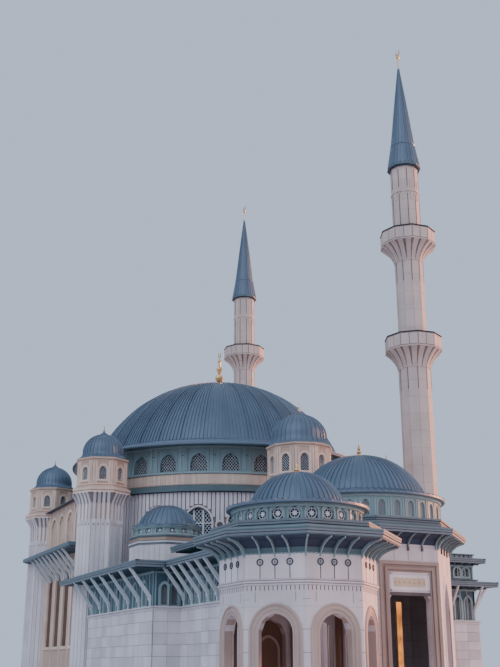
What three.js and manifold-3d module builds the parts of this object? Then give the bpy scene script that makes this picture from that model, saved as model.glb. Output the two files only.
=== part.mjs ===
import * as THREE from 'three';
import { mergeVertices } from 'three/addons/utils/BufferGeometryUtils.js';
import Module from 'manifold-3d';

const wasm = await Module();
wasm.setup();

// Scale and frame.
// Every size below is in metres of the real building. The model is 1:2, so one of them is 500 mm.
// The origin is on the ground under the main dome; the entrance faces -Y and the long canopy -X.
// An azimuth is in degrees, measured from -Y towards +X.
const MODEL_MM = 500;
// GAP is the clearance between neighbours. CUT and DOOR_CUT are the depths of the tools that cut openings.
// The tools for doors start below the ground, so that they cut right through it.
const GAP = 0.0006;
const CUT = 1.6;
const DOOR_CUT = 2.4;
const DOOR_SILL = -0.5;
const FINE_WIDTH = 1;

// Main hall, a round wall between six turrets with two flat facades.
const HALL = {
  radius: 14.3, wall: 0.6, top: 16.2, facade: 15.5, facadeHalf: 8.4, floor: 0.3, floorHalf: 6.8,
};
const TALL_WINDOW = { width: 2.4, sill: 9.6, spring: 13.5, apex: 14.9 };
const FACADE_WINDOW = { width: 2.0, sill: 3.4, spring: 9.6, apex: 11.0, pitch: 2.9 };
const FACADE_TOP_WINDOW = { width: 2.0, sill: 12.3, spring: 14.4, apex: 15.4 };
const LEDGE = { inner: 12.6, crown: 13.3, eave: 14.7, top: 17.0, edge: 16.25 };
const LEDGE_SIDE = { inner: 12.7, crown: 13.9, eave: 16.0, top: 16.9, half: 8.5 };
const BAND = { inner: 12.4, radius: 13.25, top: 18.0 };
const DRUM = { inner: 12.35, radius: 12.8, top: 20.9, bays: 28, turn: -5.4 };
const DRUM_WINDOW = { width: 1.57, sill: 18.3, spring: 19.0, apex: 19.95 };
const DOME = {
  radius: 13.3, centre: 16.25, thickness: 0.45, skirt: 12.25, eave: 14.7, edge: 20.45, cap: 0.6,
};
const FINIAL_TOP = 33.5;

// Turrets round the hall.
const TURRET_RING = 17.05;
const TURRET = {
  sides: 8, shaft: 1.9, cornice: 2.4, drum: 2.1, bracket: 15.0, ledge: 15.9, sill: 16.5, top: 18.9,
};
const TURRET_WINDOW = { width: 0.66, sill: 16.95, spring: 17.75, apex: 18.25 };
const TURRET_DOME = { radius: 1.76, apex: 21.5, spike: 22.2 };
const FRONT_TURRET = {
  sides: 10, shaft: 2.35, cornice: 2.9, drum: 2.6, bracket: 15.2, ledge: 16.0, sill: 16.6, top: 19.65,
};
const FRONT_TURRET_WINDOW = { width: 0.78, sill: 17.2, spring: 18.3, apex: 18.9 };
const FRONT_TURRET_DOME = { radius: 2.39, apex: 22.8, spike: 24.1 };
const FRONT_TURRET_Y = -17.7;

// Minarets.
const MINARET = { base: 1.85, baseTop: 9.2, lower: 1.36, upper: 1.23, wall: 0.32, shaftTop: 48.2 };
const BALCONY = { radius: 2.47, wall: 0.18, parapet: 1.3, deck: 0.15, corbel: 1.5, rims: [30.7, 41.3] };
const SPIRE = { ring: 1.56, skirt: 50.9, neck: 1.12, tip: 59.9, ball: 61.3, crescent: 0.36 };

// Entrance portal, an octagon with a round drum and dome.
const PORTAL = {
  y: -27.6, apothem: 6.05, wall: 0.55, top: 9.8, eave: 7.3, edge: 10.85, parapet: 6.3, roofTop: 11.6,
};
const PORTAL_DOOR = { width: 3.3, sill: DOOR_SILL, spring: 6.1, apex: 6.5 };
const PORTAL_NICHE = { width: 2.5, sill: 0.9, spring: 5.2, apex: 7.6 };
const PORTAL_DRUM = { radius: 5.85, inner: 5.45, top: 13.35, bays: 32 };
const PORTAL_WINDOW = { width: 0.57, sill: 11.75, spring: 12.6, apex: 13.0 };
const PORTAL_DOME = { base: 4.87, height: 13.9, apex: 17.1, eave: 6.3, spike: 18.3 };

// Corner pavilion, an open arcade of eight arches under a roof and drum.
const PAVILION = {
  x: -11.5, y: -39.1, apothem: 4.32, wall: 0.6, top: 7.6, eave: 5.82, edge: 8.95, parapet: 4.75, roofTop: 9.5,
};
const PAVILION_ARCH = { width: 2.1, sill: DOOR_SILL, spring: 3.4, apex: 4.5 };
const PAVILION_DRUM = { radius: 3.85, inner: 3.5, top: 10.6, bays: 24 };
const PAVILION_WINDOW = { width: 0.72, sill: 9.62, spring: 10.08, apex: 10.42 };
const PAVILION_DOME = { base: 2.9, height: 10.95, apex: 13.0, eave: 4.34, spike: 13.6 };

// Small dome beside the hall.
const SIDE = {
  x: -10.8, y: -14.6, base: 2.78, wall: 0.35, baseTop: 11.1, bandTop: 11.7, moulding: 0.12,
  drum: 2.62, top: 12.5, bays: 16,
};
const SIDE_WINDOW = { width: 0.6, sill: 11.85, spring: 12.1, apex: 12.4 };
const SIDE_DOME = { base: 2.4, height: 12.62, apex: 14.4, eave: 2.9 };

// Low wings in front of the hall.
const WING_TOP = 8.2;
const WING_ROOF_TOP = 8.55;
const WING_WALL = 0.4;
const WING_EAVE = 1.75;
const FRONT_EAVE = 1.2;
const FRONT_Y = -26.0;
const WING_BACK = -7;
const LEFT_X = -15.9;
const LINK = { left: -13.8, right: -8.7, front: -34.78, inner: -5.8, step: -30.0 };
const WING_WINDOW = { width: 0.75, sill: 5.7, spring: 6.9, apex: 7.4 };
const END_WINDOW = { width: 0.6, sill: 5.7, spring: 6.8, apex: 7.2, places: [-15.1, -14.35] };
const UPPER = {
  left: -10.6, right: -6.1, inner: -2, front: -30.0, back: -19.2, top: 10.2, roofTop: 10.5, eave: 1.4,
  wall: 0.35,
};
const UPPER_WINDOW = { width: 0.5, sill: 9.0, spring: 9.5, apex: 9.8 };
const CANOPY = { bottom: 11.55, top: 11.85, reach: 17.4, front: -8.4, back: 8.7, struts: 5, strutHalf: 5.8 };
const RIGHT_WING = {
  right: 18.7, front: -16.2, back: -9.4, top: 8.6, roofTop: 8.95, eave: 1.6, windows: [16.8, 17.9],
  step: 7.4, stepEave: 0.3,
};
const RIGHT_WINDOW = { width: 0.75, sill: 5.7, spring: 7.2, apex: 7.8 };
const PARAPET = { thick: 0.12, lowOut: 0.2, lowHeight: 0.35, highOut: 0.05, highHeight: 0.5 };
const TIER = {
  left: 13.6, right: 18.7, front: -16.2, top: 10.8, roofTop: 11.1, eave: 0.9, windows: [16.9, 17.85],
};
const REAR_WING = { left: 4.0, right: 15.9, hallEnd: 12, front: 8.5, back: 22.3, firstWindow: 11.2 };
const TIER_WINDOW = { width: 0.7, sill: 9.5, spring: 10.0, apex: 10.35 };
const PASSAGE = { width: 2.4, sill: DOOR_SILL, spring: 2.9, apex: 3.9, middle: -17.5, depth: 9.5 };
const STRUT = { thick: 0.1, bar: 0.14, drop: 2.0 };
const LIP = { reach: 0.12, thick: 0.08 };

const finish = {
  stone: new THREE.MeshStandardMaterial({ color: 0xcfc8cb, roughness: 0.8 }),
  warmStone: new THREE.MeshStandardMaterial({ color: 0xbda99c, roughness: 0.8 }),
  lead: new THREE.MeshStandardMaterial({ color: 0x5c7585, roughness: 0.5, metalness: 0.4 }),
  patina: new THREE.MeshStandardMaterial({ color: 0x82a3a0, roughness: 0.6 }),
  ledge: new THREE.MeshStandardMaterial({ color: 0x3f5d68, roughness: 0.6 }),
  gold: new THREE.MeshStandardMaterial({ color: 0xc89a45, roughness: 0.3, metalness: 0.9 }),
  glass: new THREE.MeshStandardMaterial({ color: 0x2a3a4c, roughness: 0.1, transparent: true, opacity: 0.5 }),
};

const radians = THREE.MathUtils.degToRad;

// Closed solid from a three.js geometry: shared corners merged, collapsed triangles dropped.
function solidOf(geometry) {
  const plain = new THREE.BufferGeometry();
  plain.setAttribute('position', geometry.getAttribute('position'));
  plain.setIndex(geometry.getIndex());
  const merged = mergeVertices(plain, 1e-5);
  const corners = merged.getIndex().array;
  const kept = [];
  for (let i = 0; i < corners.length; i += 3) {
    const [a, b, c] = [corners[i], corners[i + 1], corners[i + 2]];
    if (a !== b && b !== c && c !== a) kept.push(a, b, c);
  }
  const vertProperties = Float32Array.from(merged.getAttribute('position').array);
  return new wasm.Manifold(new wasm.Mesh({ numProp: 3, vertProperties, triVerts: Uint32Array.from(kept) }));
}

const join = (solids) => solids.reduce((sum, solid) => sum.add(solid));
const cut = (solid, tools) => tools.reduce((rest, tool) => rest.subtract(tool), solid);

// Polygonal or round body turned about a vertical axis; radii are to the middle of a side.
function turned(profile, sides, { x = 0, y = 0, turn = 0 } = {}) {
  const stretch = 1 / Math.cos(Math.PI / sides);
  const points = profile.map(([radius, height]) => new THREE.Vector2(radius * stretch, height));
  const geometry = new THREE.LatheGeometry(points, sides, Math.PI / sides);
  geometry.rotateX(Math.PI / 2);
  geometry.rotateZ(radians(turn));
  geometry.translate(x, y, 0);
  return solidOf(geometry);
}

const ring = (profile, sides, place) => turned([...profile, profile[0]], sides, place);

function box(x0, x1, y0, y1, z0, z1) {
  const geometry = new THREE.BoxGeometry(x1 - x0, y1 - y0, z1 - z0);
  geometry.translate((x0 + x1) / 2, (y0 + y1) / 2, (z0 + z1) / 2);
  return solidOf(geometry);
}

function prism(plan, bottom, top) {
  const shape = new THREE.Shape(plan.map(([x, y]) => new THREE.Vector2(x, y)));
  const geometry = new THREE.ExtrudeGeometry(shape, { depth: top - bottom, bevelEnabled: false });
  geometry.translate(0, 0, bottom);
  return solidOf(geometry);
}

const onCircle = (radius, azimuth, x = 0, y = 0) => [
  x + radius * Math.sin(radians(azimuth)),
  y - radius * Math.cos(radians(azimuth)),
];

const arc = (radius, from, to, steps) => Array.from({ length: steps + 1 }, (_, i) =>
  onCircle(radius, from + ((to - from) * i) / steps));

// Pointed-arch prism that cuts one opening: its middle lies at (x, y) and it faces the azimuth.
function arched({ width, sill, spring, apex }, x, y, azimuth, depth) {
  const half = width / 2;
  const rise = apex - spring;
  const swing = (half * half + rise * rise) / width;
  const full = Math.atan2(rise, swing - half);
  const steps = width < FINE_WIDTH ? 1 : 2;
  const side = Array.from({ length: steps }, (_, i) => {
    const angle = (full * i) / steps;
    return [half - swing + swing * Math.cos(angle), spring + swing * Math.sin(angle)];
  });
  const mirrored = side.map(([u, v]) => [-u, v]).reverse();
  const outline = [[-half, sill], [half, sill], ...side, [0, apex], ...mirrored];
  const shape = new THREE.Shape(outline.map(([u, v]) => new THREE.Vector2(u, v)));
  const geometry = new THREE.ExtrudeGeometry(shape, { depth, bevelEnabled: false });
  geometry.rotateX(Math.PI / 2);
  geometry.translate(0, depth / 2, 0);
  geometry.rotateZ(radians(azimuth));
  geometry.translate(x, y, 0);
  return solidOf(geometry);
}

// One arched opening in each side of a body, or in the sides that the list of azimuths names.
function archesRound(window, radius, azimuths, depth, { x = 0, y = 0 } = {}) {
  return azimuths.map((azimuth) => {
    const [px, py] = onCircle(radius, azimuth, x, y);
    return arched(window, px, py, azimuth, depth);
  });
}

const everySide = (sides, turn = 0) => Array.from({ length: sides }, (_, i) => (i * 360) / sides + turn);

// Circular curve in a profile, from a radius at the eave up to the axis.
function capCurve(base, height, apex, steps, end = 0) {
  const rise = apex - height;
  const radius = (base * base + rise * rise) / (2 * rise);
  const start = Math.asin(Math.min(1, base / radius)) * (radius < rise ? -1 : 1);
  const from = radius < rise ? Math.PI + start : start;
  const to = Math.asin(end / radius);
  return Array.from({ length: steps + 1 }, (_, i) => {
    const angle = from + ((to - from) * i) / steps;
    return [radius * Math.sin(angle), apex - radius + radius * Math.cos(angle)];
  });
}

const model = new THREE.Group();

function part(name, solid, material) {
  const [body] = solid.decompose().sort((a, b) => b.volume() - a.volume());
  const { vertProperties, triVerts } = body.getMesh();
  const geometry = new THREE.BufferGeometry();
  geometry.setAttribute('position', new THREE.BufferAttribute(Float32Array.from(vertProperties), 3));
  geometry.setIndex(new THREE.BufferAttribute(Uint32Array.from(triVerts), 1));
  geometry.scale(MODEL_MM, MODEL_MM, MODEL_MM);
  geometry.computeVertexNormals();
  const mesh = new THREE.Mesh(geometry, material);
  mesh.name = name;
  model.add(mesh);
}

// Outline of a turret: a shaft on the ground, brackets, a cornice and a drum with windows.
function turretOutside({ shaft, cornice, drum, bracket, ledge, sill, top }, grow) {
  const lip = drum + 0.15;
  return [
    [shaft + grow, 0], [shaft + grow, bracket], [cornice + grow, ledge], [cornice + grow, ledge + 0.35],
    [drum + grow, sill], [drum + grow, top - 0.25], [lip + grow, top - 0.15], [lip + grow, top],
  ];
}

function turretMasonry(size, window, place) {
  const inside = size.drum - 0.35;
  const well = size.shaft - 0.4;
  const profile = [
    ...turretOutside(size, 0), [inside, size.top], [inside, size.sill], [well, size.sill - 0.8], [well, 0],
  ];
  const azimuths = everySide(size.sides, place.turn);
  return cut(ring(profile, size.sides, place), archesRound(window, size.drum - 0.18, azimuths, 0.8, place));
}

function turretDome({ radius, apex, spike }, { drum, top }, place) {
  const shoulder = top + 0.28 * (apex - top);
  const foot = drum + 0.1;
  const outer = [[foot, top], [foot, top + 0.08], [radius + 0.06, top + 0.25], [radius, shoulder]];
  for (let i = 1; i < 4; i += 1) {
    const angle = (Math.PI / 2) * (i / 4);
    outer.push([radius * Math.cos(angle), shoulder + (apex - shoulder) * Math.sin(angle)]);
  }
  outer.push([0.14, apex], [0.03, spike], [0, spike]);
  const hollow = radius - 0.14;
  const inner = [
    [0, apex - 0.35], [hollow * 0.75, shoulder + (apex - shoulder) * 0.45], [hollow, shoulder - 0.2],
    [hollow, top],
  ];
  return turned([...inner, ...outer], 12, place);
}

const cornerTurrets = [
  { name: 'front_left_turret', azimuth: -60 },
  { name: 'rear_left_turret', azimuth: -120 },
  { name: 'front_right_turret', azimuth: 60 },
  { name: 'rear_right_turret', azimuth: 120 },
  { name: 'rear_turret', azimuth: 180 },
].map(({ name, azimuth }) => {
  const [x, y] = onCircle(TURRET_RING, azimuth);
  return { name, size: TURRET, window: TURRET_WINDOW, dome: TURRET_DOME, place: { x, y, turn: azimuth } };
});
const frontTurret = {
  name: 'front_turret', size: FRONT_TURRET, window: FRONT_TURRET_WINDOW, dome: FRONT_TURRET_DOME,
  place: { x: 0, y: FRONT_TURRET_Y, turn: 18 },
};
const turrets = [frontTurret, ...cornerTurrets];

// Space that a turret, minaret base or other body needs, a hair wider than the body itself.
function filled(outside, sides, place) {
  const top = outside[outside.length - 1][1];
  return turned([[0, 0], ...outside, [0, top]], sides, place);
}

const turretSpaces = turrets.map(({ size, place }) => filled(turretOutside(size, GAP), size.sides, place));
const minaretPlaces = [
  { name: 'front_minaret', x: 11.4, y: -19.2, turn: 30 },
  { name: 'rear_minaret', x: 12.4, y: 20.8, turn: 150 },
];
const minaretSpaces = minaretPlaces.map((place) =>
  filled([[MINARET.base + GAP, 0], [MINARET.base + GAP, MINARET.baseTop + 3]], 10, place));

const passage = arched(PASSAGE, 0, PASSAGE.middle, 0, PASSAGE.depth);

// SEAM is the half clearance, in degrees, between two lengths of the round wall. FACET is its facets' angle.
const SEAM = 0.003;
const PIER = { flank: 4.2, reach: 16.2 };
const LOBBY = { end: 7.5, flank: 6.5, reach: 16.5 };
const FACET = 7.5;

// Stub of wall that ties the round wall to a turret.
function pier(from, to, reach) {
  const root = HALL.radius - 0.3;
  const plan = [onCircle(root, from), onCircle(reach, from), onCircle(reach, to), onCircle(root, to)];
  return prism(plan, 0, HALL.top);
}

function roundWall(from, to) {
  const steps = Math.round((to - from) / FACET);
  const outer = arc(HALL.radius, from + SEAM, to - SEAM, steps);
  const inner = arc(HALL.radius - HALL.wall, to - SEAM, from + SEAM, steps);
  return prism([...outer, ...inner], 0, HALL.top);
}

for (const { name, size, window, dome, place } of turrets) {
  const masonry = turretMasonry(size, window, place);
  if (name !== 'front_turret') part(`${name}_masonry`, masonry, finish.warmStone);
  part(`${name}_dome`, turretDome(dome, size, place), finish.lead);
}

// Front turret with the stretch of hall wall behind it. The passage parts its foot into two piers.
const lobby = join([
  roundWall(-LOBBY.end, LOBBY.end), pier(-LOBBY.flank + SEAM, LOBBY.flank - SEAM, LOBBY.reach),
]).subtract(filled(turretOutside(FRONT_TURRET, -0.1), FRONT_TURRET.sides, frontTurret.place));
const frontMasonry = join([
  turretMasonry(FRONT_TURRET, FRONT_TURRET_WINDOW, frontTurret.place), lobby,
]).subtract(passage);
const footSpace = (x0, x1) =>
  box(x0, x1, PASSAGE.middle - PASSAGE.depth, PASSAGE.middle + PASSAGE.depth, -1, PASSAGE.spring);
part('front_turret_masonry', frontMasonry.subtract(footSpace(-4, 4)), finish.warmStone);
part('front_turret_left_pier', frontMasonry.intersect(footSpace(-4, 0)), finish.warmStone);
part('front_turret_right_pier', frontMasonry.intersect(footSpace(0, 4)), finish.warmStone);

// Curved hall walls, each from one turret to the next, with tall arched windows.
function hallWall(from, to, pierAzimuths, windowAzimuths) {
  const piers = pierAzimuths.map((azimuth) => (azimuth === from
    ? pier(from + SEAM, from + PIER.flank, PIER.reach)
    : pier(to - PIER.flank, to - SEAM, PIER.reach)));
  const windows = archesRound(TALL_WINDOW, HALL.radius - HALL.wall / 2, windowAzimuths, CUT);
  return cut(join([roundWall(from, to), ...piers]), [...turretSpaces, ...windows]);
}

part('hall_front_left_wall', hallWall(-60, -LOBBY.end, [-60], [-45, -30, -15]), finish.stone);
part('hall_front_right_wall', hallWall(LOBBY.end, 60, [60], [45, 30, 15]), finish.stone);
part('hall_rear_right_wall', hallWall(120, 180, [120, 180], [135, 150, 165]), finish.stone);
part('hall_rear_left_wall', hallWall(180, 240, [180, 240], [195, 210, 225]), finish.stone);

// Flat facades between the turrets on the left and right.
function facade(side) {
  const half = HALL.facadeHalf;
  const middle = HALL.facade - HALL.wall / 2;
  const wall = box(side * middle - HALL.wall / 2, side * middle + HALL.wall / 2, -half, half, 0, HALL.top);
  const windows = [];
  for (const k of [-1.5, -0.5, 0.5, 1.5]) {
    for (const window of [FACADE_WINDOW, FACADE_TOP_WINDOW]) {
      windows.push(arched(window, side * middle, k * FACADE_WINDOW.pitch, side * 90, CUT));
    }
  }
  return cut(wall, [...turretSpaces, ...windows]);
}

part('hall_left_facade', facade(-1), finish.stone);
part('hall_right_facade', facade(1), finish.stone);

const floorSide = HALL.facade - HALL.wall - GAP;
part('hall_floor', cut(join([
  prism(arc(HALL.radius - HALL.wall - GAP, 0, 360 - FACET, 360 / FACET - 1), 0, HALL.floor),
  box(-floorSide, floorSide, -HALL.floorHalf, HALL.floorHalf, 0, HALL.floor),
]), turretSpaces), finish.stone);

// Sloping ledge roof over the hall walls, round with a straight edge over each facade.
const ledgeRing = ring([
  [LEDGE.inner, HALL.top], [LEDGE.eave, HALL.top], [LEDGE.eave, LEDGE.edge], [LEDGE.crown, LEDGE.top],
  [LEDGE.inner, LEDGE.top],
], 36);
const ledgeSides = [-1, 1].map((side) => {
  const { inner, crown, eave, top, half } = LEDGE_SIDE;
  const outline = [[inner, HALL.top], [eave, HALL.top], [eave, LEDGE.edge], [crown, top], [inner, top]];
  const shape = new THREE.Shape(outline.map(([u, v]) => new THREE.Vector2(side * u, v)));
  const geometry = new THREE.ExtrudeGeometry(shape, { depth: 2 * half, bevelEnabled: false });
  geometry.rotateX(Math.PI / 2);
  geometry.translate(0, half, 0);
  return solidOf(geometry);
});
const hallCore = turned([
  [0, HALL.top - 1], [LEDGE.inner, HALL.top - 1], [LEDGE.inner, LEDGE.top + 1], [0, LEDGE.top + 1],
], 36);
part('hall_ledge_roof', cut(join([ledgeRing, ...ledgeSides]), [hallCore, ...turretSpaces]), finish.ledge);

part('stone_band', ring([
  [BAND.inner, LEDGE.top], [BAND.radius, LEDGE.top], [BAND.radius, BAND.top], [BAND.inner, BAND.top],
], DRUM.bays, { turn: DRUM.turn }), finish.warmStone);

// Main drum, its glass and the dome with its flared skirt.
function drumRing(inner, outer, top) {
  const profile = [[inner, BAND.top], [outer, BAND.top], [outer, top], [inner, top]];
  return ring(profile, DRUM.bays, { turn: DRUM.turn });
}

part('main_drum', cut(
  drumRing(DRUM.inner, DRUM.radius, DRUM.top),
  archesRound(DRUM_WINDOW, (DRUM.inner + DRUM.radius) / 2, everySide(DRUM.bays, DRUM.turn), CUT),
), finish.patina);
part('main_drum_glass', drumRing(DRUM.inner - 0.06, DRUM.inner - GAP, DRUM.top - 0.2), finish.glass);

const domeTop = DOME.centre + Math.sqrt(DOME.radius ** 2 - DOME.cap ** 2);
const sphereArc = (radius, from, to, steps) => Array.from({ length: steps + 1 }, (_, i) => {
  const angle = from + ((to - from) * i) / steps;
  return [radius * Math.sin(angle), DOME.centre + radius * Math.cos(angle)];
});
const domeAngle = (radius) => Math.asin(radius / DOME.radius);
const insideRadius = DOME.radius - DOME.thickness;
const insideFoot = Math.acos((DRUM.top - DOME.centre) / insideRadius);
part('main_dome', turned([
  ...sphereArc(insideRadius, 0, insideFoot, 3),
  [DRUM.radius + 0.15, DRUM.top], [DOME.eave - 0.15, DOME.edge - 0.12], [DOME.eave, DOME.edge],
  [DOME.eave, DOME.edge + 0.15], [DOME.radius, DRUM.top + 0.25],
  ...sphereArc(DOME.radius, domeAngle(DOME.skirt), domeAngle(DOME.cap), 7),
  [0, domeTop],
], 40), finish.lead);

// Upright crescent that opens upwards and faces +X, with its middle on the axis at the given height.
function crescent(radius, middle) {
  const bow = (size, lift, from, to, steps) => Array.from({ length: steps + 1 }, (_, i) => {
    const angle = radians(from + ((to - from) * i) / steps);
    return new THREE.Vector2(size * Math.cos(angle), middle + lift + size * Math.sin(angle));
  });
  const outline = new THREE.Shape([
    ...bow(radius, 0, 130.5, 409.5, 9), ...bow(radius * 0.82, radius * 0.26, 397.6, 142.4, 8).slice(1, -1),
  ]);
  const plate = new THREE.ExtrudeGeometry(outline, { depth: radius * 0.24, bevelEnabled: false });
  plate.rotateX(Math.PI / 2);
  plate.translate(0, radius * 0.12, 0);
  plate.rotateZ(Math.PI / 2);
  return solidOf(plate);
}

// Finial of three balls with a crescent, on the axis of the dome.
function finial(bottom, top) {
  const height = top - bottom;
  const stem = [[0, bottom], [0.5, bottom], [0.3, bottom + height * 0.08], [0.15, bottom + height * 0.14]];
  for (const [level, r] of [[0.242, 0.43], [0.49, 0.31], [0.72, 0.19]]) {
    const z = bottom + height * level;
    for (const [out, up] of [[0.75, -0.66], [1, 0], [0.75, 0.66]]) stem.push([r * out, z + r * up]);
    stem.push([0.1, z + r * 0.95]);
  }
  const neck = bottom + height * 0.81;
  stem.push([0.05, neck], [0.05, neck + 0.1], [0, neck + 0.1]);
  const radius = height * 0.088;
  return join([turned(stem, 8), crescent(radius, neck + radius * 0.95)]);
}

part('main_finial', finial(domeTop, FINIAL_TOP), finish.gold);

// Minarets: a ten-sided shaft with two corbelled balconies under a leaded spire.
for (const { name, ...place } of minaretPlaces) {
  const [lowRim, highRim] = BALCONY.rims;
  const shift = lowRim - BALCONY.parapet + 0.1;
  const well = MINARET.lower - MINARET.wall - 0.1;
  part(`${name}_shaft`, ring([
    [MINARET.base, 0], [MINARET.base, MINARET.baseTop], [MINARET.lower, MINARET.baseTop + 1.4],
    [MINARET.lower, shift], [MINARET.upper, shift], [MINARET.upper, 45.4], [MINARET.upper + 0.07, 45.45],
    [MINARET.upper + 0.07, 45.65], [MINARET.upper, 45.7], [MINARET.upper, MINARET.shaftTop],
    [well, MINARET.shaftTop], [well, 0],
  ], 10, place), finish.stone);
  for (const [level, rim, shaft] of [['lower', lowRim, MINARET.lower], ['upper', highRim, MINARET.upper]]) {
    const deck = rim - BALCONY.parapet;
    const floor = deck + BALCONY.deck;
    const bore = shaft + GAP;
    const narrow = MINARET.upper + GAP;
    const stepped = [[narrow, floor], [narrow, shift + GAP], [bore, shift + GAP]];
    const step = level === 'lower' ? stepped : [[bore, floor]];
    part(`${name}_${level}_balcony`, ring([
      [bore, deck - BALCONY.corbel], [shaft + 0.12, deck - BALCONY.corbel + 0.05], [shaft + 0.3, deck - 0.95],
      [shaft + 0.72, deck - 0.4], [BALCONY.radius - 0.06, deck - 0.08], [BALCONY.radius, deck],
      [BALCONY.radius, rim], [BALCONY.radius - BALCONY.wall, rim], [BALCONY.radius - BALCONY.wall, floor],
      ...step,
    ], 10, place), finish.stone);
  }
  const { ring: rim, skirt, neck, tip, ball, crescent: size } = SPIRE;
  const spire = turned([
    [0, MINARET.shaftTop + 0.3], [1.0, MINARET.shaftTop], [rim, MINARET.shaftTop],
    [rim, MINARET.shaftTop + 0.25], [neck, skirt], [0.1, tip], [0.06, tip + 0.2], [0.06, ball - 0.25],
    [0.19, ball - 0.1], [0.19, ball + 0.1], [0.06, ball + 0.22], [0, ball + 0.22],
  ], 12, place);
  part(`${name}_spire`, join([
    spire, crescent(size, ball + 0.16 + size).translate([place.x, place.y, 0]),
  ]), finish.lead);
}

// Dome on a round drum: flared eave, ribbed cap and spike.
function smallDome({ base, height, apex, eave, spike }, wall, seat, sides, place) {
  const cap = capCurve(base, height, apex, 5, 0.14);
  const hollow = base - 0.2;
  const spikeTip = [[0.14, apex + 0.1], [0.2, apex + 0.25], [0.05, apex + 0.45], [0.02, spike], [0, spike]];
  const tip = spike ? spikeTip : [[0, cap[5][1]]];
  return turned([
    [0, apex - 0.3], ...capCurve(hollow, height, apex - 0.3, 2, 0).reverse().slice(1),
    [wall.inner, seat], [wall.radius + 0.08, seat], [eave - 0.08, seat - 0.08], [eave, seat],
    [eave, seat + 0.1], ...cap, ...tip,
  ], sides, place);
}

function drum({ radius, inner, top, bays }, window, bottom, turn, place) {
  const profile = [[inner, bottom], [radius, bottom], [radius, top], [inner, top]];
  const windows = archesRound(window, (radius + inner) / 2, everySide(bays, turn), 0.9, place);
  return cut(ring(profile, bays, { ...place, turn }), windows);
}

// Entrance portal.
const portalPlace = { x: 0, y: PORTAL.y, turn: 0 };
const portalIn = PORTAL.apothem - PORTAL.wall;
part('portal_walls', cut(
  ring([
    [PORTAL.apothem, 0], [PORTAL.apothem, PORTAL.top], [portalIn, PORTAL.top], [portalIn, 0],
  ], 8, portalPlace),
  [
    ...archesRound(PORTAL_DOOR, PORTAL.apothem, [0], DOOR_CUT, portalPlace),
    ...archesRound(PORTAL_NICHE, PORTAL.apothem, [45, -45], DOOR_CUT, portalPlace),
    ...archesRound(PASSAGE, PORTAL.apothem, [180], DOOR_CUT, portalPlace),
  ],
), finish.stone);
part('portal_roof', ring([
  [PORTAL_DRUM.inner, PORTAL.top], [PORTAL.apothem, PORTAL.top], [PORTAL.apothem + 0.2, PORTAL.top + 0.35],
  [PORTAL.eave - 0.5, PORTAL.edge - 0.4], [PORTAL.eave - LIP.reach, PORTAL.edge - 0.35],
  [PORTAL.eave - LIP.reach, PORTAL.edge - LIP.thick], [PORTAL.eave, PORTAL.edge - LIP.thick],
  [PORTAL.eave, PORTAL.edge],
  [PORTAL.parapet, PORTAL.edge + 0.35], [PORTAL.parapet, PORTAL.roofTop], [PORTAL_DRUM.inner, PORTAL.roofTop],
], 8, portalPlace), finish.ledge);
part('portal_drum', drum(PORTAL_DRUM, PORTAL_WINDOW, PORTAL.roofTop, 180 / PORTAL_DRUM.bays, portalPlace),
  finish.patina);
part('portal_dome', smallDome(PORTAL_DOME, PORTAL_DRUM, PORTAL_DRUM.top, 20, portalPlace), finish.lead);

// Corner pavilion.
const pavilionPlace = { x: PAVILION.x, y: PAVILION.y, turn: 0 };
const pavilionIn = PAVILION.apothem - PAVILION.wall;
part('pavilion_arcade', cut(
  ring([
    [PAVILION.apothem, 0], [PAVILION.apothem, PAVILION.top], [pavilionIn, PAVILION.top], [pavilionIn, 0],
  ], 8, pavilionPlace),
  archesRound(PAVILION_ARCH, PAVILION.apothem, everySide(8), DOOR_CUT, pavilionPlace),
), finish.stone);
const pavilionCove = [
  [PAVILION.apothem, PAVILION.top], [PAVILION.apothem + 0.1, PAVILION.top + 0.4],
  [PAVILION.apothem + 0.55, PAVILION.top + 0.75], [PAVILION.eave - LIP.reach, PAVILION.top + 0.92],
];
part('pavilion_roof', ring([
  [PAVILION_DRUM.inner, PAVILION.top], ...pavilionCove,
  [PAVILION.eave - LIP.reach, PAVILION.edge - LIP.thick], [PAVILION.eave, PAVILION.edge - LIP.thick],
  [PAVILION.eave, PAVILION.edge],
  [PAVILION.parapet, PAVILION.edge + 0.3], [PAVILION.parapet, PAVILION.roofTop],
  [PAVILION_DRUM.inner, PAVILION.roofTop],
], 8, pavilionPlace), finish.ledge);
part('pavilion_drum', drum(PAVILION_DRUM, PAVILION_WINDOW, PAVILION.roofTop, 0, pavilionPlace),
  finish.patina);
part('pavilion_dome', smallDome(PAVILION_DOME, PAVILION_DRUM, PAVILION_DRUM.top, 16, pavilionPlace),
  finish.lead);

// Small dome beside the hall, on its own octagonal base.
const sidePlace = { x: SIDE.x, y: SIDE.y, turn: 0 };
const sideBase = ring([
  [SIDE.base, WING_ROOF_TOP], [SIDE.base, SIDE.baseTop], [SIDE.base + SIDE.moulding, SIDE.baseTop],
  [SIDE.base + SIDE.moulding, SIDE.baseTop + SIDE.moulding], [SIDE.base, SIDE.baseTop + SIDE.moulding],
  [SIDE.base, SIDE.bandTop], [SIDE.drum - SIDE.wall, SIDE.bandTop], [SIDE.drum - SIDE.wall, WING_ROOF_TOP],
], 8, sidePlace);
const roundHall = turned([[0, 0], [HALL.radius + GAP, 0], [HALL.radius + GAP, HALL.top], [0, HALL.top]], 96);
const pierSpaces = (azimuths) => azimuths.map((azimuth) => {
  const { flank, reach } = azimuth ? PIER : LOBBY;
  return pier(azimuth - flank - SEAM, azimuth + flank + SEAM, reach + GAP);
});
const hallSpace = join([roundHall, ...pierSpaces([0, -60, 60])]);
part('side_dome_base', cut(sideBase, [hallSpace, ...turretSpaces]), finish.stone);
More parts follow.
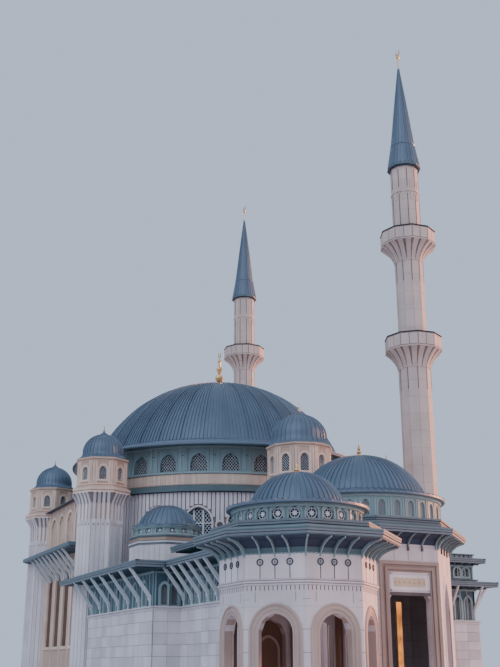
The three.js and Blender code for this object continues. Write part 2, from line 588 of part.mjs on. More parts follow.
const sideDrum = { radius: SIDE.drum, inner: SIDE.drum - SIDE.wall, top: SIDE.top, bays: SIDE.bays };
const sideRound = drum(sideDrum, SIDE_WINDOW, SIDE.bandTop, 180 / SIDE.bays, sidePlace);
part('side_dome_drum', sideRound.subtract(hallSpace), finish.patina);
const sideCap = smallDome(SIDE_DOME, sideDrum, SIDE.top, 16, sidePlace);
part('side_dome_roof', sideCap.subtract(hallSpace), finish.lead);

// Low wings: walls, then roofs with their wide eaves.
const portalSpace = filled([[PORTAL.apothem + GAP, 0], [PORTAL.apothem + GAP, PORTAL.top]], 8, portalPlace);
const pavilionSpace = filled([
  [PAVILION.apothem + GAP, 0], [PAVILION.apothem + GAP, PAVILION.top + 0.3],
], 8, pavilionPlace);
const neighbours = [hallSpace, ...turretSpaces, ...minaretSpaces, portalSpace, pavilionSpace];

function windowRow(window, x, from, to, count, azimuth) {
  return Array.from({ length: count }, (_, i) =>
    arched(window, x, from + ((to - from) * (i + 0.5)) / count, azimuth, CUT));
}

part('left_wing_walls', cut(join([
  box(LEFT_X, LEFT_X + WING_WALL, FRONT_Y, WING_BACK, 0, WING_TOP),
  box(LEFT_X, LINK.inner, FRONT_Y + GAP, FRONT_Y + WING_WALL, 0, WING_TOP),
]), [
  ...neighbours,
  ...windowRow(WING_WINDOW, LEFT_X + WING_WALL / 2, FRONT_Y + 0.8, -11.2, 7, 90),
  ...END_WINDOW.places.map((x) => arched(END_WINDOW, x, FRONT_Y + WING_WALL / 2, 0, CUT)),
]), finish.patina);
const pavilionEaveSpace = turned([
  [0, PAVILION.top - GAP], ...pavilionCove.map(([radius, height]) => [radius + GAP, height - GAP]),
  [PAVILION.eave + GAP, PAVILION.edge - LIP.thick - GAP], [PAVILION.eave + GAP, PAVILION.roofTop],
  [0, PAVILION.roofTop],
], 8, pavilionPlace);
part('link_wing_walls', cut(join([
  box(LINK.left, LINK.left + WING_WALL, LINK.front - 2, FRONT_Y - GAP, 0, WING_TOP),
  box(LINK.right - WING_WALL, LINK.right, LINK.front - 2, LINK.step + WING_WALL, 0, WING_TOP),
  box(LINK.left, LINK.right, LINK.front + 0.001, LINK.front + WING_WALL, 0, WING_TOP),
  box(LINK.right - WING_WALL, LINK.inner, LINK.step, LINK.step + WING_WALL, 0, WING_TOP),
]), [
  ...neighbours, pavilionEaveSpace,
  ...windowRow(WING_WINDOW, LINK.left + WING_WALL / 2, LINK.front + 0.5, FRONT_Y - 0.4, 6, 90),
]), finish.patina);

// Slanting strut under an eave that points to -X or +X, with its short foot on the wall.
function strut(wallX, reach, y, top, side) {
  const foot = top - STRUT.drop;
  const outline = [
    [0.02, foot], [0.02 + STRUT.bar, foot], [reach, top - 0.02], [reach, top + 0.1],
    [reach - STRUT.bar, top + 0.1], [0.02, foot + STRUT.bar],
  ];
  const shape = new THREE.Shape(outline.map(([u, v]) => new THREE.Vector2(side * u, v)));
  const geometry = new THREE.ExtrudeGeometry(shape, { depth: STRUT.thick, bevelEnabled: false });
  geometry.rotateX(Math.PI / 2);
  geometry.translate(wallX, y + STRUT.thick / 2, 0);
  return solidOf(geometry);
}

// Flat roof slab with a thin lip round its upper edge.
function eaveSlab(x0, x1, y0, y1, bottom, top) {
  const inset = LIP.reach;
  return join([
    box(x0 + inset, x1 - inset, y0 + inset, y1 - inset, bottom, top),
    box(x0, x1, y0, y1, top - LIP.thick, top),
  ]);
}

const spread = (from, to, count) =>
  Array.from({ length: count }, (_, i) => from + ((to - from) * i) / (count - 1));

part('left_wing_roof', cut(join([
  eaveSlab(LEFT_X - WING_EAVE, 0, FRONT_Y - FRONT_EAVE, WING_BACK, WING_TOP, WING_ROOF_TOP),
  ...spread(FRONT_Y + 0.5, -11.4, 7).map((y) => strut(LEFT_X, WING_EAVE - 0.1, y, WING_TOP, -1)),
]), [
  ...neighbours,
  box(LINK.left - WING_EAVE - GAP, 0, FRONT_Y - FRONT_EAVE - 1, FRONT_Y - GAP, 0, WING_ROOF_TOP + 1),
]), finish.ledge);
part('link_wing_roof', cut(join([
  eaveSlab(LINK.left - WING_EAVE, LINK.right, LINK.front - 2, FRONT_Y - 2 * GAP, WING_TOP, WING_ROOF_TOP),
  box(LINK.right - 0.2, LINK.inner, LINK.step, FRONT_Y - 2 * GAP, WING_TOP, WING_ROOF_TOP),
  ...spread(LINK.front + 0.9, FRONT_Y - 0.6, 6).map((y) =>
    strut(LINK.left, WING_EAVE - 0.1, y, WING_TOP, -1)),
]), [...neighbours, pavilionEaveSpace]), finish.ledge);

// Upper storey between the side dome and the portal.
const sideEdge = SIDE.base + SIDE.moulding + GAP;
const sideSpace = filled([[sideEdge, 0], [sideEdge, SIDE.bandTop]], 8, sidePlace);
const portalEaveSpace = turned([
  [0, PORTAL.top - GAP], [PORTAL.eave + GAP, PORTAL.top - GAP], [PORTAL.eave + GAP, PORTAL.roofTop],
  [0, PORTAL.roofTop],
], 8, portalPlace);
part('upper_storey_walls', cut(join([
  box(UPPER.left, UPPER.left + UPPER.wall, UPPER.front, UPPER.back, WING_ROOF_TOP, UPPER.top),
  box(UPPER.left, UPPER.right, UPPER.front, UPPER.front + UPPER.wall, WING_ROOF_TOP, UPPER.top),
  box(UPPER.left, UPPER.inner, UPPER.back - UPPER.wall, UPPER.back, WING_ROOF_TOP, UPPER.top),
]), [
  ...neighbours, sideSpace, portalEaveSpace,
  ...windowRow(UPPER_WINDOW, UPPER.left + UPPER.wall / 2, UPPER.front + 0.5, UPPER.back - 2.6, 6, 90),
]), finish.patina);
const upperLeft = UPPER.left - UPPER.eave;
part('upper_storey_roof', cut(
  eaveSlab(upperLeft, UPPER.inner, UPPER.front - 0.4, UPPER.back + 0.6, UPPER.top, UPPER.roofTop),
  [...neighbours, sideSpace, portalEaveSpace],
), finish.ledge);

// Canopies between the turrets over the flat facades.
for (const [name, side] of [['left_canopy', -1], ['right_canopy', 1]]) {
  const [west, east] = [side * (HALL.facade + GAP), side * CANOPY.reach].sort((a, b) => a - b);
  const reach = CANOPY.reach - HALL.facade - 0.1;
  part(name, cut(join([
    box(west, east, CANOPY.front, CANOPY.back, CANOPY.bottom, CANOPY.top),
    ...spread(-CANOPY.strutHalf, CANOPY.strutHalf, CANOPY.struts).map((y) =>
      strut(side * HALL.facade, reach, y, CANOPY.bottom, side)),
  ]), turretSpaces), finish.ledge);
}

// Right wing beside the front minaret.
const rw = RIGHT_WING;
part('right_wing_walls', cut(join([
  box(-LINK.inner, rw.step, FRONT_Y, FRONT_Y + WING_WALL, 0, rw.top),
  box(rw.step - WING_WALL, rw.step, FRONT_Y, rw.front + WING_WALL, 0, rw.top),
  box(rw.step - WING_WALL, rw.right, rw.front, rw.front + WING_WALL, 0, rw.top),
  box(rw.right - WING_WALL, rw.right, rw.front, rw.back, 0, rw.top),
  box(TIER.left, rw.right, rw.back - WING_WALL, rw.back, 0, rw.top),
]), [
  ...neighbours,
  ...rw.windows.map((x) => arched(RIGHT_WINDOW, x, rw.front + WING_WALL / 2, 0, CUT)),
]), finish.patina);

// Low parapet along the front and right edges of the right wing's roofs.
function rightParapet(out, bottom, height) {
  const front = rw.front - out;
  const right = rw.right + out;
  return join([
    box(TIER.left, right, front, front + PARAPET.thick, bottom - LIP.thick, bottom + height),
    box(right - PARAPET.thick, right, front, rw.back, bottom - LIP.thick, bottom + height),
  ]);
}

part('right_wing_roof', cut(join([
  eaveSlab(GAP, rw.right + rw.eave, rw.front - rw.eave, rw.back, rw.top, rw.roofTop),
  eaveSlab(GAP, rw.step + rw.stepEave, FRONT_Y - FRONT_EAVE, rw.back, rw.top, rw.roofTop),
  rightParapet(PARAPET.lowOut, rw.roofTop, PARAPET.lowHeight),
]), neighbours), finish.ledge);

// Rear wing between the hall and the rear minaret.
const rear = REAR_WING;
const rearNeighbours = [roundHall, ...pierSpaces([120, 180]), ...turretSpaces, ...minaretSpaces];
part('rear_wing_walls', cut(join([
  box(rear.left, rear.left + WING_WALL, rear.hallEnd, rear.back, 0, WING_TOP),
  box(rear.left, rear.right, rear.back - WING_WALL, rear.back, 0, WING_TOP),
  box(rear.right - WING_WALL, rear.right, rear.front, rear.back, 0, WING_TOP),
]), [
  ...rearNeighbours,
  ...windowRow(WING_WINDOW, rear.right - WING_WALL / 2, rear.firstWindow, rear.back - 0.8, 5, 90),
]), finish.patina);
part('rear_wing_roof', cut(
  eaveSlab(rear.left, rear.right + WING_EAVE, rear.front, rear.back + FRONT_EAVE, WING_TOP, WING_ROOF_TOP),
  rearNeighbours,
), finish.ledge);

// Set-back upper tier of the right wing.
part('right_wing_tier_walls', cut(join([
  box(TIER.left, TIER.right, TIER.front, TIER.front + UPPER.wall, rw.roofTop, TIER.top),
  box(TIER.right - UPPER.wall, TIER.right, TIER.front, rw.back, rw.roofTop, TIER.top),
  box(TIER.left, TIER.right, rw.back - UPPER.wall, rw.back, rw.roofTop, TIER.top),
]), [
  ...neighbours,
  ...TIER.windows.map((x) => arched(TIER_WINDOW, x, TIER.front + UPPER.wall / 2, 0, CUT)),
]), finish.patina);
part('right_wing_tier_roof', cut(join([
  eaveSlab(TIER.left - 0.4, TIER.right + TIER.eave, TIER.front - TIER.eave, rw.back, TIER.top, TIER.roofTop),
  rightParapet(PARAPET.highOut, TIER.roofTop, PARAPET.highHeight),
]), neighbours), finish.ledge);

export default model;
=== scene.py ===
import math
from types import SimpleNamespace as Size

import bmesh
import bpy
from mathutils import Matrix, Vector


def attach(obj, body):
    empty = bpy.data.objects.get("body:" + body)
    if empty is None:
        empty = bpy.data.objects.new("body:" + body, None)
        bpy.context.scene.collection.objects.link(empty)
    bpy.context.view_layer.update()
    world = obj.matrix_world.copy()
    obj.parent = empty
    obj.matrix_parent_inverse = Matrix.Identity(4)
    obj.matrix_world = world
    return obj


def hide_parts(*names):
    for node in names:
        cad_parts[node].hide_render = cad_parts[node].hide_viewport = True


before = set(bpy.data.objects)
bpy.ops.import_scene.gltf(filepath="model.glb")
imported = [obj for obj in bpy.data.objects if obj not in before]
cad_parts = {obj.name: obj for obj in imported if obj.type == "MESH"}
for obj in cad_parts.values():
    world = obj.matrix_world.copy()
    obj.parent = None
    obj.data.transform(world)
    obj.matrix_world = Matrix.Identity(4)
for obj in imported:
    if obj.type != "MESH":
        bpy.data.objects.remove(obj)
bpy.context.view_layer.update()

# Sizes below are in metres of the real building, and SCALE turns them into the model's metres.
# An azimuth is in degrees from -Y towards +X. A window is (width, sill, spring, apex).
SCALE = 0.5

FLOOR = 0.3
HALL = Size(radius=14.3, top=16.15, window=(2.4, 9.6, 13.5, 14.9), medallion=13.3, medallion_radius=0.42)
# Curved walls of the hall, as the azimuth where each starts and the height where its ribs start.
HALL_WALLS = ((-60, 8.6), (0, 9.0), (120, FLOOR), (180, FLOOR))
# A pier of the hall is (half its angle, its reach).
ENTRANCE_PIER = (6.5, 16.5)
TURRET_PIER = (4.2, 16.2)
FACADE = Size(distance=15.5, pitch=2.9, top=16.1, window=(2.0, 3.4, 9.6, 11.0), niche=(2.0, 12.3, 14.4, 15.4))
CANOPY = Size(bottom=11.55, top=11.85, reach=17.4, half=8.35)
BAND = Size(radius=13.25, bottom=17.0, top=18.0)
DRUM = Size(radius=12.8, bays=28, turn=-5.4, top=20.9, window=(1.57, 18.3, 19.0, 19.95))
DOME = Size(radius=13.3, centre=16.25, thickness=0.45, eave=14.7, edge=20.45, skirt=12.25, cap=0.6, seams=216)

# Turrets round the hall, as the azimuth of each and the height where its ribs start.
TURRET_RING = 17.05
TURRETS = {"front_left_turret": (-60, FLOOR), "rear_left_turret": (-120, FLOOR),
           "front_right_turret": (60, 9.0), "rear_right_turret": (120, FLOOR), "rear_turret": (180, FLOOR)}
TURRET = Size(sides=8, shaft=1.9, cornice=2.4, drum=2.1, bracket=15.0, ledge=15.9, sill=16.5, top=18.9,
              dome=1.76, apex=21.5, spike=22.2, window=(0.66, 16.95, 17.78, 18.13))
FRONT_TURRET = Size(sides=10, shaft=2.35, cornice=2.9, drum=2.6, bracket=15.2, ledge=16.0, sill=16.6,
                    top=19.65, dome=2.39, apex=22.8, spike=24.1, window=(0.78, 17.2, 18.34, 18.75))
FRONT_TURRET_Y = -17.7

MINARET = Size(faces=10, lower=1.36, upper=1.23, foot=10.8, ring=(45.4, 45.7), top=48.2, course=1.6)
MINARET_PLACES = {"front_minaret": (11.4, -19.2, 30), "rear_minaret": (12.4, 20.8, 150)}
BALCONY = Size(radius=2.47, parapet=1.3, corbel=1.5, rims=(30.7, 41.3))
SPIRE = Size(ring=1.56, skirt=50.9, neck=1.12, tip=59.9, ball=61.3, crescent=0.36)

PORTAL = Size(x=0.0, y=-27.6, apothem=6.05, eave=7.3, edge=10.85, parapet=6.3, soffit=10.5, roof=11.6,
              drum=5.85, drum_top=13.35, bays=32, turn=5.625, window=(0.57, 11.75, 12.62, 12.92), dome=4.87,
              height=13.9, apex=17.1, rim=6.3, spike=18.3, seams=72, pitch=0.19, node="portal_dome",
              brackets=(-0.92, -0.46, 0.0, 0.46, 0.92), niche=(2.5, 0.9, 5.2, 7.6), door=1.66,
              lintel=(6.32, 6.52), panel=(6.54, 7.88), panel_half=1.6, joint_foot=8.75, joint_top=9.6,
              courses=(1.2, 2.4, 3.6, 4.8))
PAVILION = Size(x=-11.5, y=-39.1, apothem=4.32, top=7.6, eave=5.82, edge=8.95, parapet=4.75, soffit=8.5,
                roof=9.5, drum=3.85, drum_top=10.6, bays=24, turn=0.0, window=(0.72, 9.62, 10.08, 10.42),
                dome=2.9, height=10.95, apex=13.0, rim=4.34, spike=13.6, seams=48, pitch=None,
                node="pavilion_dome", brackets=(-0.49, 0.0, 0.49), arch=(2.1, 0.0, 3.4, 4.5),
                rear_arch=(1.3, 0.0, 2.6, 3.4), cornice=6.1, medallion=7.22, ceiling=7.4,
                beams=3.24, courses=(1.2, 2.4, 3.6, 5.2))
SIDE = Size(x=-10.8, y=-14.6, base=2.78, base_top=11.1, roof=11.7, drum=2.62, drum_top=12.5, bays=16,
            turn=11.25, window=(0.6, 11.85, 12.1, 12.4), dome=2.4, height=12.62, apex=14.4, rim=2.9, seams=32,
            pitch=None, node="side_dome_roof")

# Steps of a fascia, as (low, high, out) from the edge of its roof.
FASCIA_STEPS = ((0.0, 0.07, 0.0), (-0.21, -0.09, -0.02), (-0.37, -0.25, -0.06))
# Low wings: the top of their stone base, the eave on their ends, and their storeys.
# A storey's base is how far the stone base stands out, or None.
BASE_TOP = 5.5
FRONT_EAVE = 1.2
WING = Size(left=15.9, front=-26.0, eave=1.75, roof=8.55, base=0.07, window=(0.75, 5.7, 6.9, 7.4))
WING_END = Size(roof=8.55, base=0.07, window=(0.6, 5.7, 6.8, 7.2))
LINK = Size(left=13.8, right=-8.7)
UPPER = Size(left=10.6, front=-30.0, eave=1.4, roof=10.5, base=None, window=(0.5, 9.0, 9.5, 9.8))
RIGHT = Size(right=18.7, front=-16.2, back=-9.4, eave=1.6, roof=8.95, base=0.4, window=(0.75, 5.7, 7.2, 7.8))
ENTRANCE = Size(right=7.4, eave=0.3, roof=8.95, base=0.07)
TIER = Size(left=13.6, right=18.7, front=-16.2, eave=0.9, roof=11.1, base=None,
            window=(0.7, 9.5, 10.0, 10.35))
REAR = Size(left=4.0, right=15.9, back=22.3)


# Camera at the photograph's viewpoint, in the model's metres.
def make_camera(place=(-19.95, -46.6, 0.8), pitch=18.5, azimuth=-25, lens=53.97):
    data = bpy.data.cameras.new("camera")
    data.sensor_width = 36
    data.lens = lens
    data.clip_end = 400
    camera = bpy.data.objects.new("camera", data)
    bpy.context.scene.collection.objects.link(camera)
    camera.location = place
    camera.rotation_euler = (math.radians(90 + pitch), 0, math.radians(azimuth))
    bpy.context.scene.camera = camera


make_camera()


# Points and outlines.
def spread(start, end, count):
    return [start + (end - start) * i / (count - 1) for i in range(count)]


def middles(start, end, count):
    return [start + (end - start) * (i + 0.5) / count for i in range(count)]


def around(x, y, radius, azimuth, z):
    a = math.radians(azimuth)
    return (x + radius * math.sin(a), y - radius * math.cos(a), z)


def wall(x, y, distance, azimuth):
    """Place on a wall facing the azimuth at a distance from (x, y): u runs along it, v up and w out of it."""
    sin, cos = math.sin(math.radians(azimuth)), math.cos(math.radians(azimuth))

    def place(u, v, w):
        return (x + (distance + w) * sin + u * cos, y - (distance + w) * cos + u * sin, v)

    return place


def slid(place, along):
    """The same wall place with its u counted from another spot."""
    return lambda u, v, w: place(along + u, v, w)


def half_side(radius, sides):
    """Half a side of a regular polygon whose radius is to the middle of a side."""
    return radius * math.tan(math.pi / sides)


def polygon(sides, radius, x, y, turn=0):
    """Corners of a regular polygon, counterclockwise from above; the radius is to the middle of a side."""
    corner = radius / math.cos(math.pi / sides)
    return [around(x, y, corner, turn + 360 * (i + 0.5) / sides, 0)[:2] for i in range(sides)]


def walls(sides, radius, x, y, turn=0):
    """Places on all the walls of a regular polygon."""
    return [wall(x, y, radius, turn + 360 * i / sides) for i in range(sides)]


def corners(sides, radius, x, y, turn=0, out=0.0):
    """Places that look outwards at the corners of a regular polygon, or a distance out from them."""
    distance = radius / math.cos(math.pi / sides) + out
    return [wall(x, y, distance, turn + 360 * (i + 0.5) / sides) for i in range(sides)]


def circle_points(u, v, radius, count):
    angles = [2 * math.pi * i / count for i in range(count)]
    return [(u + radius * math.cos(a), v + radius * math.sin(a)) for a in angles]


def star_points(u, v, tips, dents):
    """Outline of an eight-pointed star."""
    far, near = circle_points(u, v, tips, 16), circle_points(u, v, dents, 16)
    return [(far, near)[i % 2][i] for i in range(16)]


def bezier(start, pull, end, steps):
    return [tuple((1 - t) ** 2 * a + 2 * t * (1 - t) * b + t * t * c for a, b, c in zip(start, pull, end))
            for t in spread(0, 1, steps + 1)]


def arch_outline(window, grow=0.0, foot=0.0, steps=6):
    """Pointed arch as (u, v) points, counterclockwise from its lower left corner, offset outwards by grow."""
    width, sill, spring, apex = window
    half = width / 2
    swing = (half ** 2 + (apex - spring) ** 2) / width
    radius = swing + grow
    full = math.acos((swing - half) / radius)
    angles = [full * i / steps for i in range(steps)]
    right = [(half - swing + radius * math.cos(a), spring + radius * math.sin(a)) for a in angles]
    left = [(-u, v) for u, v in reversed(right)]
    return [(-half - grow, sill - foot), (half + grow, sill - foot), *right,
            (0, spring + radius * math.sin(full)), *left]


def arch_height(window, u, grow):
    """Height of the arch above a place u along the wall, or None beside the opening."""
    width, _, spring, apex = window
    half = width / 2
    if abs(u) >= half + grow:
        return None
    swing = (half ** 2 + (apex - spring) ** 2) / width
    return spring + math.sqrt((swing + grow) ** 2 - (abs(u) + swing - half) ** 2)


def clipped(start, end, outline):
    """The stretch of a line that lies inside a convex outline, as two points, or None."""
    enter, leave = 0.0, 1.0
    run = (end[0] - start[0], end[1] - start[1])
    for (ax, ay), (bx, by) in zip(outline, outline[1:] + outline[:1]):
        nx, ny = by - ay, ax - bx
        side = nx * (start[0] - ax) + ny * (start[1] - ay)
        speed = nx * run[0] + ny * run[1]
        if abs(speed) < 1e-9:
            if side > 0:
                return None
        elif speed > 0:
            leave = min(leave, -side / speed)
        else:
            enter = max(enter, -side / speed)
    if leave - enter < 1e-3:
        return None
    return [(start[0] + run[0] * t, start[1] + run[1] * t) for t in (enter, leave)]


BLOCK_FACES = [(0, 2, 3, 1), (4, 5, 7, 6), (0, 1, 5, 4), (2, 6, 7, 3), (0, 4, 6, 2), (1, 3, 7, 5)]


class Build:
    """Gathers the vertices and faces of one piece, in real metres."""

    def __init__(self):
        self.points = []
        self.faces = []

    def add(self, points, faces):
        first = len(self.points)
        self.points.extend(points)
        self.faces.extend([tuple(first + i for i in face) for face in faces])

    def loft(self, rings, around_closed=True, along_closed=False):
        """Skin over rings of equally many points, with its two ends closed where it doesn't run in a loop."""
        count = len(rings[0])
        faces = []
        for i in range(len(rings) - (0 if along_closed else 1)):
            j = (i + 1) % len(rings)
            for k in range(count - (0 if around_closed else 1)):
                m = (k + 1) % count
                faces.append((i * count + k, i * count + m, j * count + m, j * count + k))
        if around_closed and not along_closed:
            last = (len(rings) - 1) * count
            faces.append(tuple(range(count)))
            faces.append(tuple(last + k for k in range(count)))
        self.add([point for ring in rings for point in ring], faces)

    def block(self, place, u0, u1, v0, v1, w0, w1):
        self.add([place(u, v, w) for w in (w0, w1) for v in (v0, v1) for u in (u0, u1)], BLOCK_FACES)

    def slab(self, place, u0, u1, outline):
        """Upright plate square to the wall, whose outline is (w, v) points."""
        self.loft([[place(u, v, w) for w, v in outline] for u in (u0, u1)])

    def plate(self, place, outline, w0, w1):
        """Flat plate on the wall, whose outline is (u, v) points."""
        self.loft([[place(u, v, w) for u, v in outline] for w in (w0, w1)])

    def bar(self, place, start, end, width, w0, w1):
        """Straight bar in the plane of the wall."""
        du, dv = end[0] - start[0], end[1] - start[1]
        size = math.hypot(du, dv)
        nu, nv = -dv / size * width / 2, du / size * width / 2
        outline = [(start[0] - nu, start[1] - nv), (end[0] - nu, end[1] - nv), (end[0] + nu, end[1] + nv),
                   (start[0] + nu, start[1] + nv)]
        self.plate(place, outline, w0, w1)

    def beam(self, start, end, width, height):
        """Straight beam between two points in space."""
        a, b = Vector(start), Vector(end)
        along = (b - a).normalized()
        side = along.cross(Vector((0, 0, 1)))
        side = (side if side.length > 1e-3 else Vector((1, 0, 0))).normalized() * width / 2
        up = side.cross(along).normalized() * height / 2
        self.loft([[tuple(p + side * i + up * j) for i, j in ((-1, -1), (1, -1), (1, 1), (-1, 1))]
                   for p in (a, b)])

    def moulding(self, profile, path, closed=True):
        """Profile of (out, up) points carried along a plan path, with out to the right of the way it runs."""
        rings = []
        count = len(path)
        for i, (x, y) in enumerate(path):
            normals = []
            for a, b in ((i - 1, i), (i, i + 1)):
                if closed or (a >= 0 and b < count):
                    dx = path[b % count][0] - path[a % count][0]
                    dy = path[b % count][1] - path[a % count][1]
                    size = math.hypot(dx, dy)
                    normals.append((dy / size, -dx / size))
            mx, my = (sum(n[axis] for n in normals) / len(normals) for axis in (0, 1))
            size = mx * mx + my * my
            rings.append([(x + mx / size * out, y + my / size * out, up) for out, up in profile])
        self.loft(rings, along_closed=closed)

    def bands(self, path, steps, depth=0.05, bevel=0.0, closed=True):
        """Flat mouldings along a plan path, as (low, high, out) steps, that go to a depth behind it."""
        for low, high, out in steps:
            profile = [(-depth, low), (out, low + bevel), (out, high - bevel), (-depth, high)]
            self.moulding(profile, path, closed)

    def ring(self, place, u, v, radius, hole, w0, w1):
        """Flat ring on the wall, with the radii of its rim and its hole."""
        profile = ((radius, w0), (radius, w1), (hole, w1), (hole, w0))
        outlines = [circle_points(u, v, size, 16) for size, _ in profile]
        rings = [[place(*outline[i], w) for outline, (_, w) in zip(outlines, profile)] for i in range(16)]
        self.loft(rings, along_closed=True)

    def turned(self, profile, segments, x, y):
        """Solid turned about a vertical axis, from an open (radius, height) profile."""
        rings = [[around(x, y, max(radius, 0.004), 360 * i / segments, height) for i in range(segments)]
                 for radius, height in profile]
        self.loft(rings)

    def arch(self, place, window, profile, sill=True, steps=6):
        """Moulding round a pointed opening, from (grow, out) points; it ends at the foot or runs under it."""
        outlines = [arch_outline(window, grow, grow if sill else 0.0, steps) for grow, _ in profile]
        if not sill:
            outlines = [outline[1:] + outline[:1] for outline in outlines]
        rings = [[place(*outline[i], out) for outline, (_, out) in zip(outlines, profile)]
                 for i in range(len(outlines[0]))]
        self.loft(rings, along_closed=sill)

    def lattice(self, place, outline, pitch, slope, width, w0, w1):
        """Diamond lattice of crossing bars inside a convex outline."""
        us, vs = [u for u, _ in outline], [v for _, v in outline]
        rise = (max(us) - min(us)) * slope
        step = pitch * slope
        count = math.ceil((max(vs) - min(vs) + rise) / step)
        for i in range(1, count + 1):
            high = min(vs) + i * step - step / 2
            for left, right in ((high, high - rise), (high - rise, high)):
                line = clipped((min(us), left), (max(us), right), outline)
                if line:
                    self.bar(place, *line, width, w0, w1)

    def courses(self, place, near, far, heights):
        """Thin level joints at the heights, from near to far on either side of the middle."""
        for v in heights:
            for u0, u1 in ((-far, -near), (near, far)):
                self.block(place, u0, u1, v - 0.008, v + 0.008, -0.02, 0.004)

    def slabs(self, place, u0, u1, v0, v1, columns, rows, gap, w0, w1):
        """Rectangular field of thin slabs with open joints between them."""
        du, dv = (u1 - u0) / columns, (v1 - v0) / rows
        for i in range(columns):
            for j in range(rows):
                self.block(place, u0 + du * i + gap / 2, u0 + du * (i + 1) - gap / 2,
                           v0 + dv * j + gap / 2, v0 + dv * (j + 1) - gap / 2, w0, w1)

    def seamed(self, profile, hollow, seams, width, rise, x, y, plain=3, bold=0):
        """Sheet-metal roof with standing seams over a hollow; both profiles run from the eave to the top.

        The first plain rings of the profile have no seams, and every bold-th seam is higher."""
        rings = [[around(x, y, radius, 90 * i / seams, height) for i in range(4 * seams)]
                 for radius, height in reversed(hollow)]
        for i, (radius, height) in enumerate(profile):
            before, after = profile[max(i - 1, 0)], profile[min(i + 1, len(profile) - 1)]
            dr, dz = after[0] - before[0], after[1] - before[1]
            size = math.hypot(dr, dz)
            half = min(width / 2, 0.22 * 2 * math.pi * radius / seams)
            ring = []
            for seam in range(seams):
                higher = 1.8 if bold and seam % bold == 0 else 1
                lift = 0 if i < plain else rise * half / (width / 2) * higher
                for along, out in ((-half, 0), (-half * 0.6, lift), (half * 0.6, lift), (half, 0)):
                    azimuth = 360 * seam / seams + math.degrees(along / radius)
                    ring.append(around(x, y, radius + dz / size * out, azimuth, height - dr / size * out))
            rings.append(ring)
        self.loft(rings)


def builds(count):
    return [Build() for _ in range(count)]


def piece(name, build, material, replaces=()):
    """Makes the gathered faces into an object that rides on the building."""
    mesh = bpy.data.meshes.new(name)
    mesh.from_pydata([[c * SCALE for c in point] for point in build.points], [], build.faces)
    shape = bmesh.new()
    shape.from_mesh(mesh)
    bmesh.ops.recalc_face_normals(shape, faces=shape.faces)
    shape.to_mesh(mesh)
    shape.free()
    mesh.shade_smooth()
    mesh.set_sharp_from_angle(angle=math.radians(32))
    mesh.materials.append(material)
    made = bpy.data.objects.new(name, mesh)
    bpy.context.scene.collection.objects.link(made)
    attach(made, "root")
    if replaces:
        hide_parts(*replaces)


# Materials.
def linear(red, green, blue):
    """Scene-linear colour with alpha from 0 to 255 display values."""
    shares = [c / 255 for c in (red, green, blue)]
    return (*[c / 12.92 if c < 0.04045 else ((c + 0.055) / 1.055) ** 2.4 for c in shares], 1)


def feed(tree, made, inputs):
    """Links or sets the inputs of a node."""
    for key, value in inputs.items():
        if isinstance(value, bpy.types.NodeSocket):
            tree.links.new(value, made.inputs[key])
        else:
            made.inputs[key].default_value = value
    return made


def node(tree, kind, inputs, **settings):
    made = tree.nodes.new(kind)
    for key, value in settings.items():
        setattr(made, key, value)
    return feed(tree, made, inputs)


def maths(tree, operation, a, b=0.0):
    return node(tree, "ShaderNodeMath", {0: a, 1: b}, operation=operation).outputs[0]


def varied(tree, middle, value, strength):
    """A value about zero, times its strength, added to a middle."""
    return maths(tree, "ADD", middle, maths(tree, "MULTIPLY", value, strength))


def mix(tree, factor, a, b, blend="MIX"):
    made = node(tree, "ShaderNodeMix", {0: factor, 6: a, 7: b}, data_type="RGBA", blend_type=blend)
    return made.outputs[2]


def noise(tree, place, scale, stretch=(1, 1, 1)):
    """Noise value about zero, stretched by the three factors."""
    moved = node(tree, "ShaderNodeMapping", {"Vector": place, "Scale": stretch}).outputs[0]
    made = node(tree, "ShaderNodeTexNoise", {"Vector": moved, "Scale": scale, "Detail": 4})
    return maths(tree, "SUBTRACT", made.outputs[0], 0.5)


def bump(tree, height, strength):
    return node(tree, "ShaderNodeBump", {"Strength": strength, "Distance": 0.01, "Height": height}).outputs[0]


def blank(name):
    """New material with its nodes, its shader and the place on the object."""
    made = bpy.data.materials.new(name)
    made.use_nodes = True
    tree = made.node_tree
    return made, tree, tree.nodes["Principled BSDF"], node(tree, "ShaderNodeTexCoord", {}).outputs["Object"]


def joint_lines(tree, place, course, width):
    """Factor that darkens level joints, one for each course of a wall."""
    height = node(tree, "ShaderNodeSeparateXYZ", {0: place}).outputs[2]
    part = maths(tree, "FRACT", maths(tree, "DIVIDE", height, course))
    line = maths(tree, "LESS_THAN", part, width / course)
    return maths(tree, "SUBTRACT", 1.0, maths(tree, "MULTIPLY", line, 0.3))


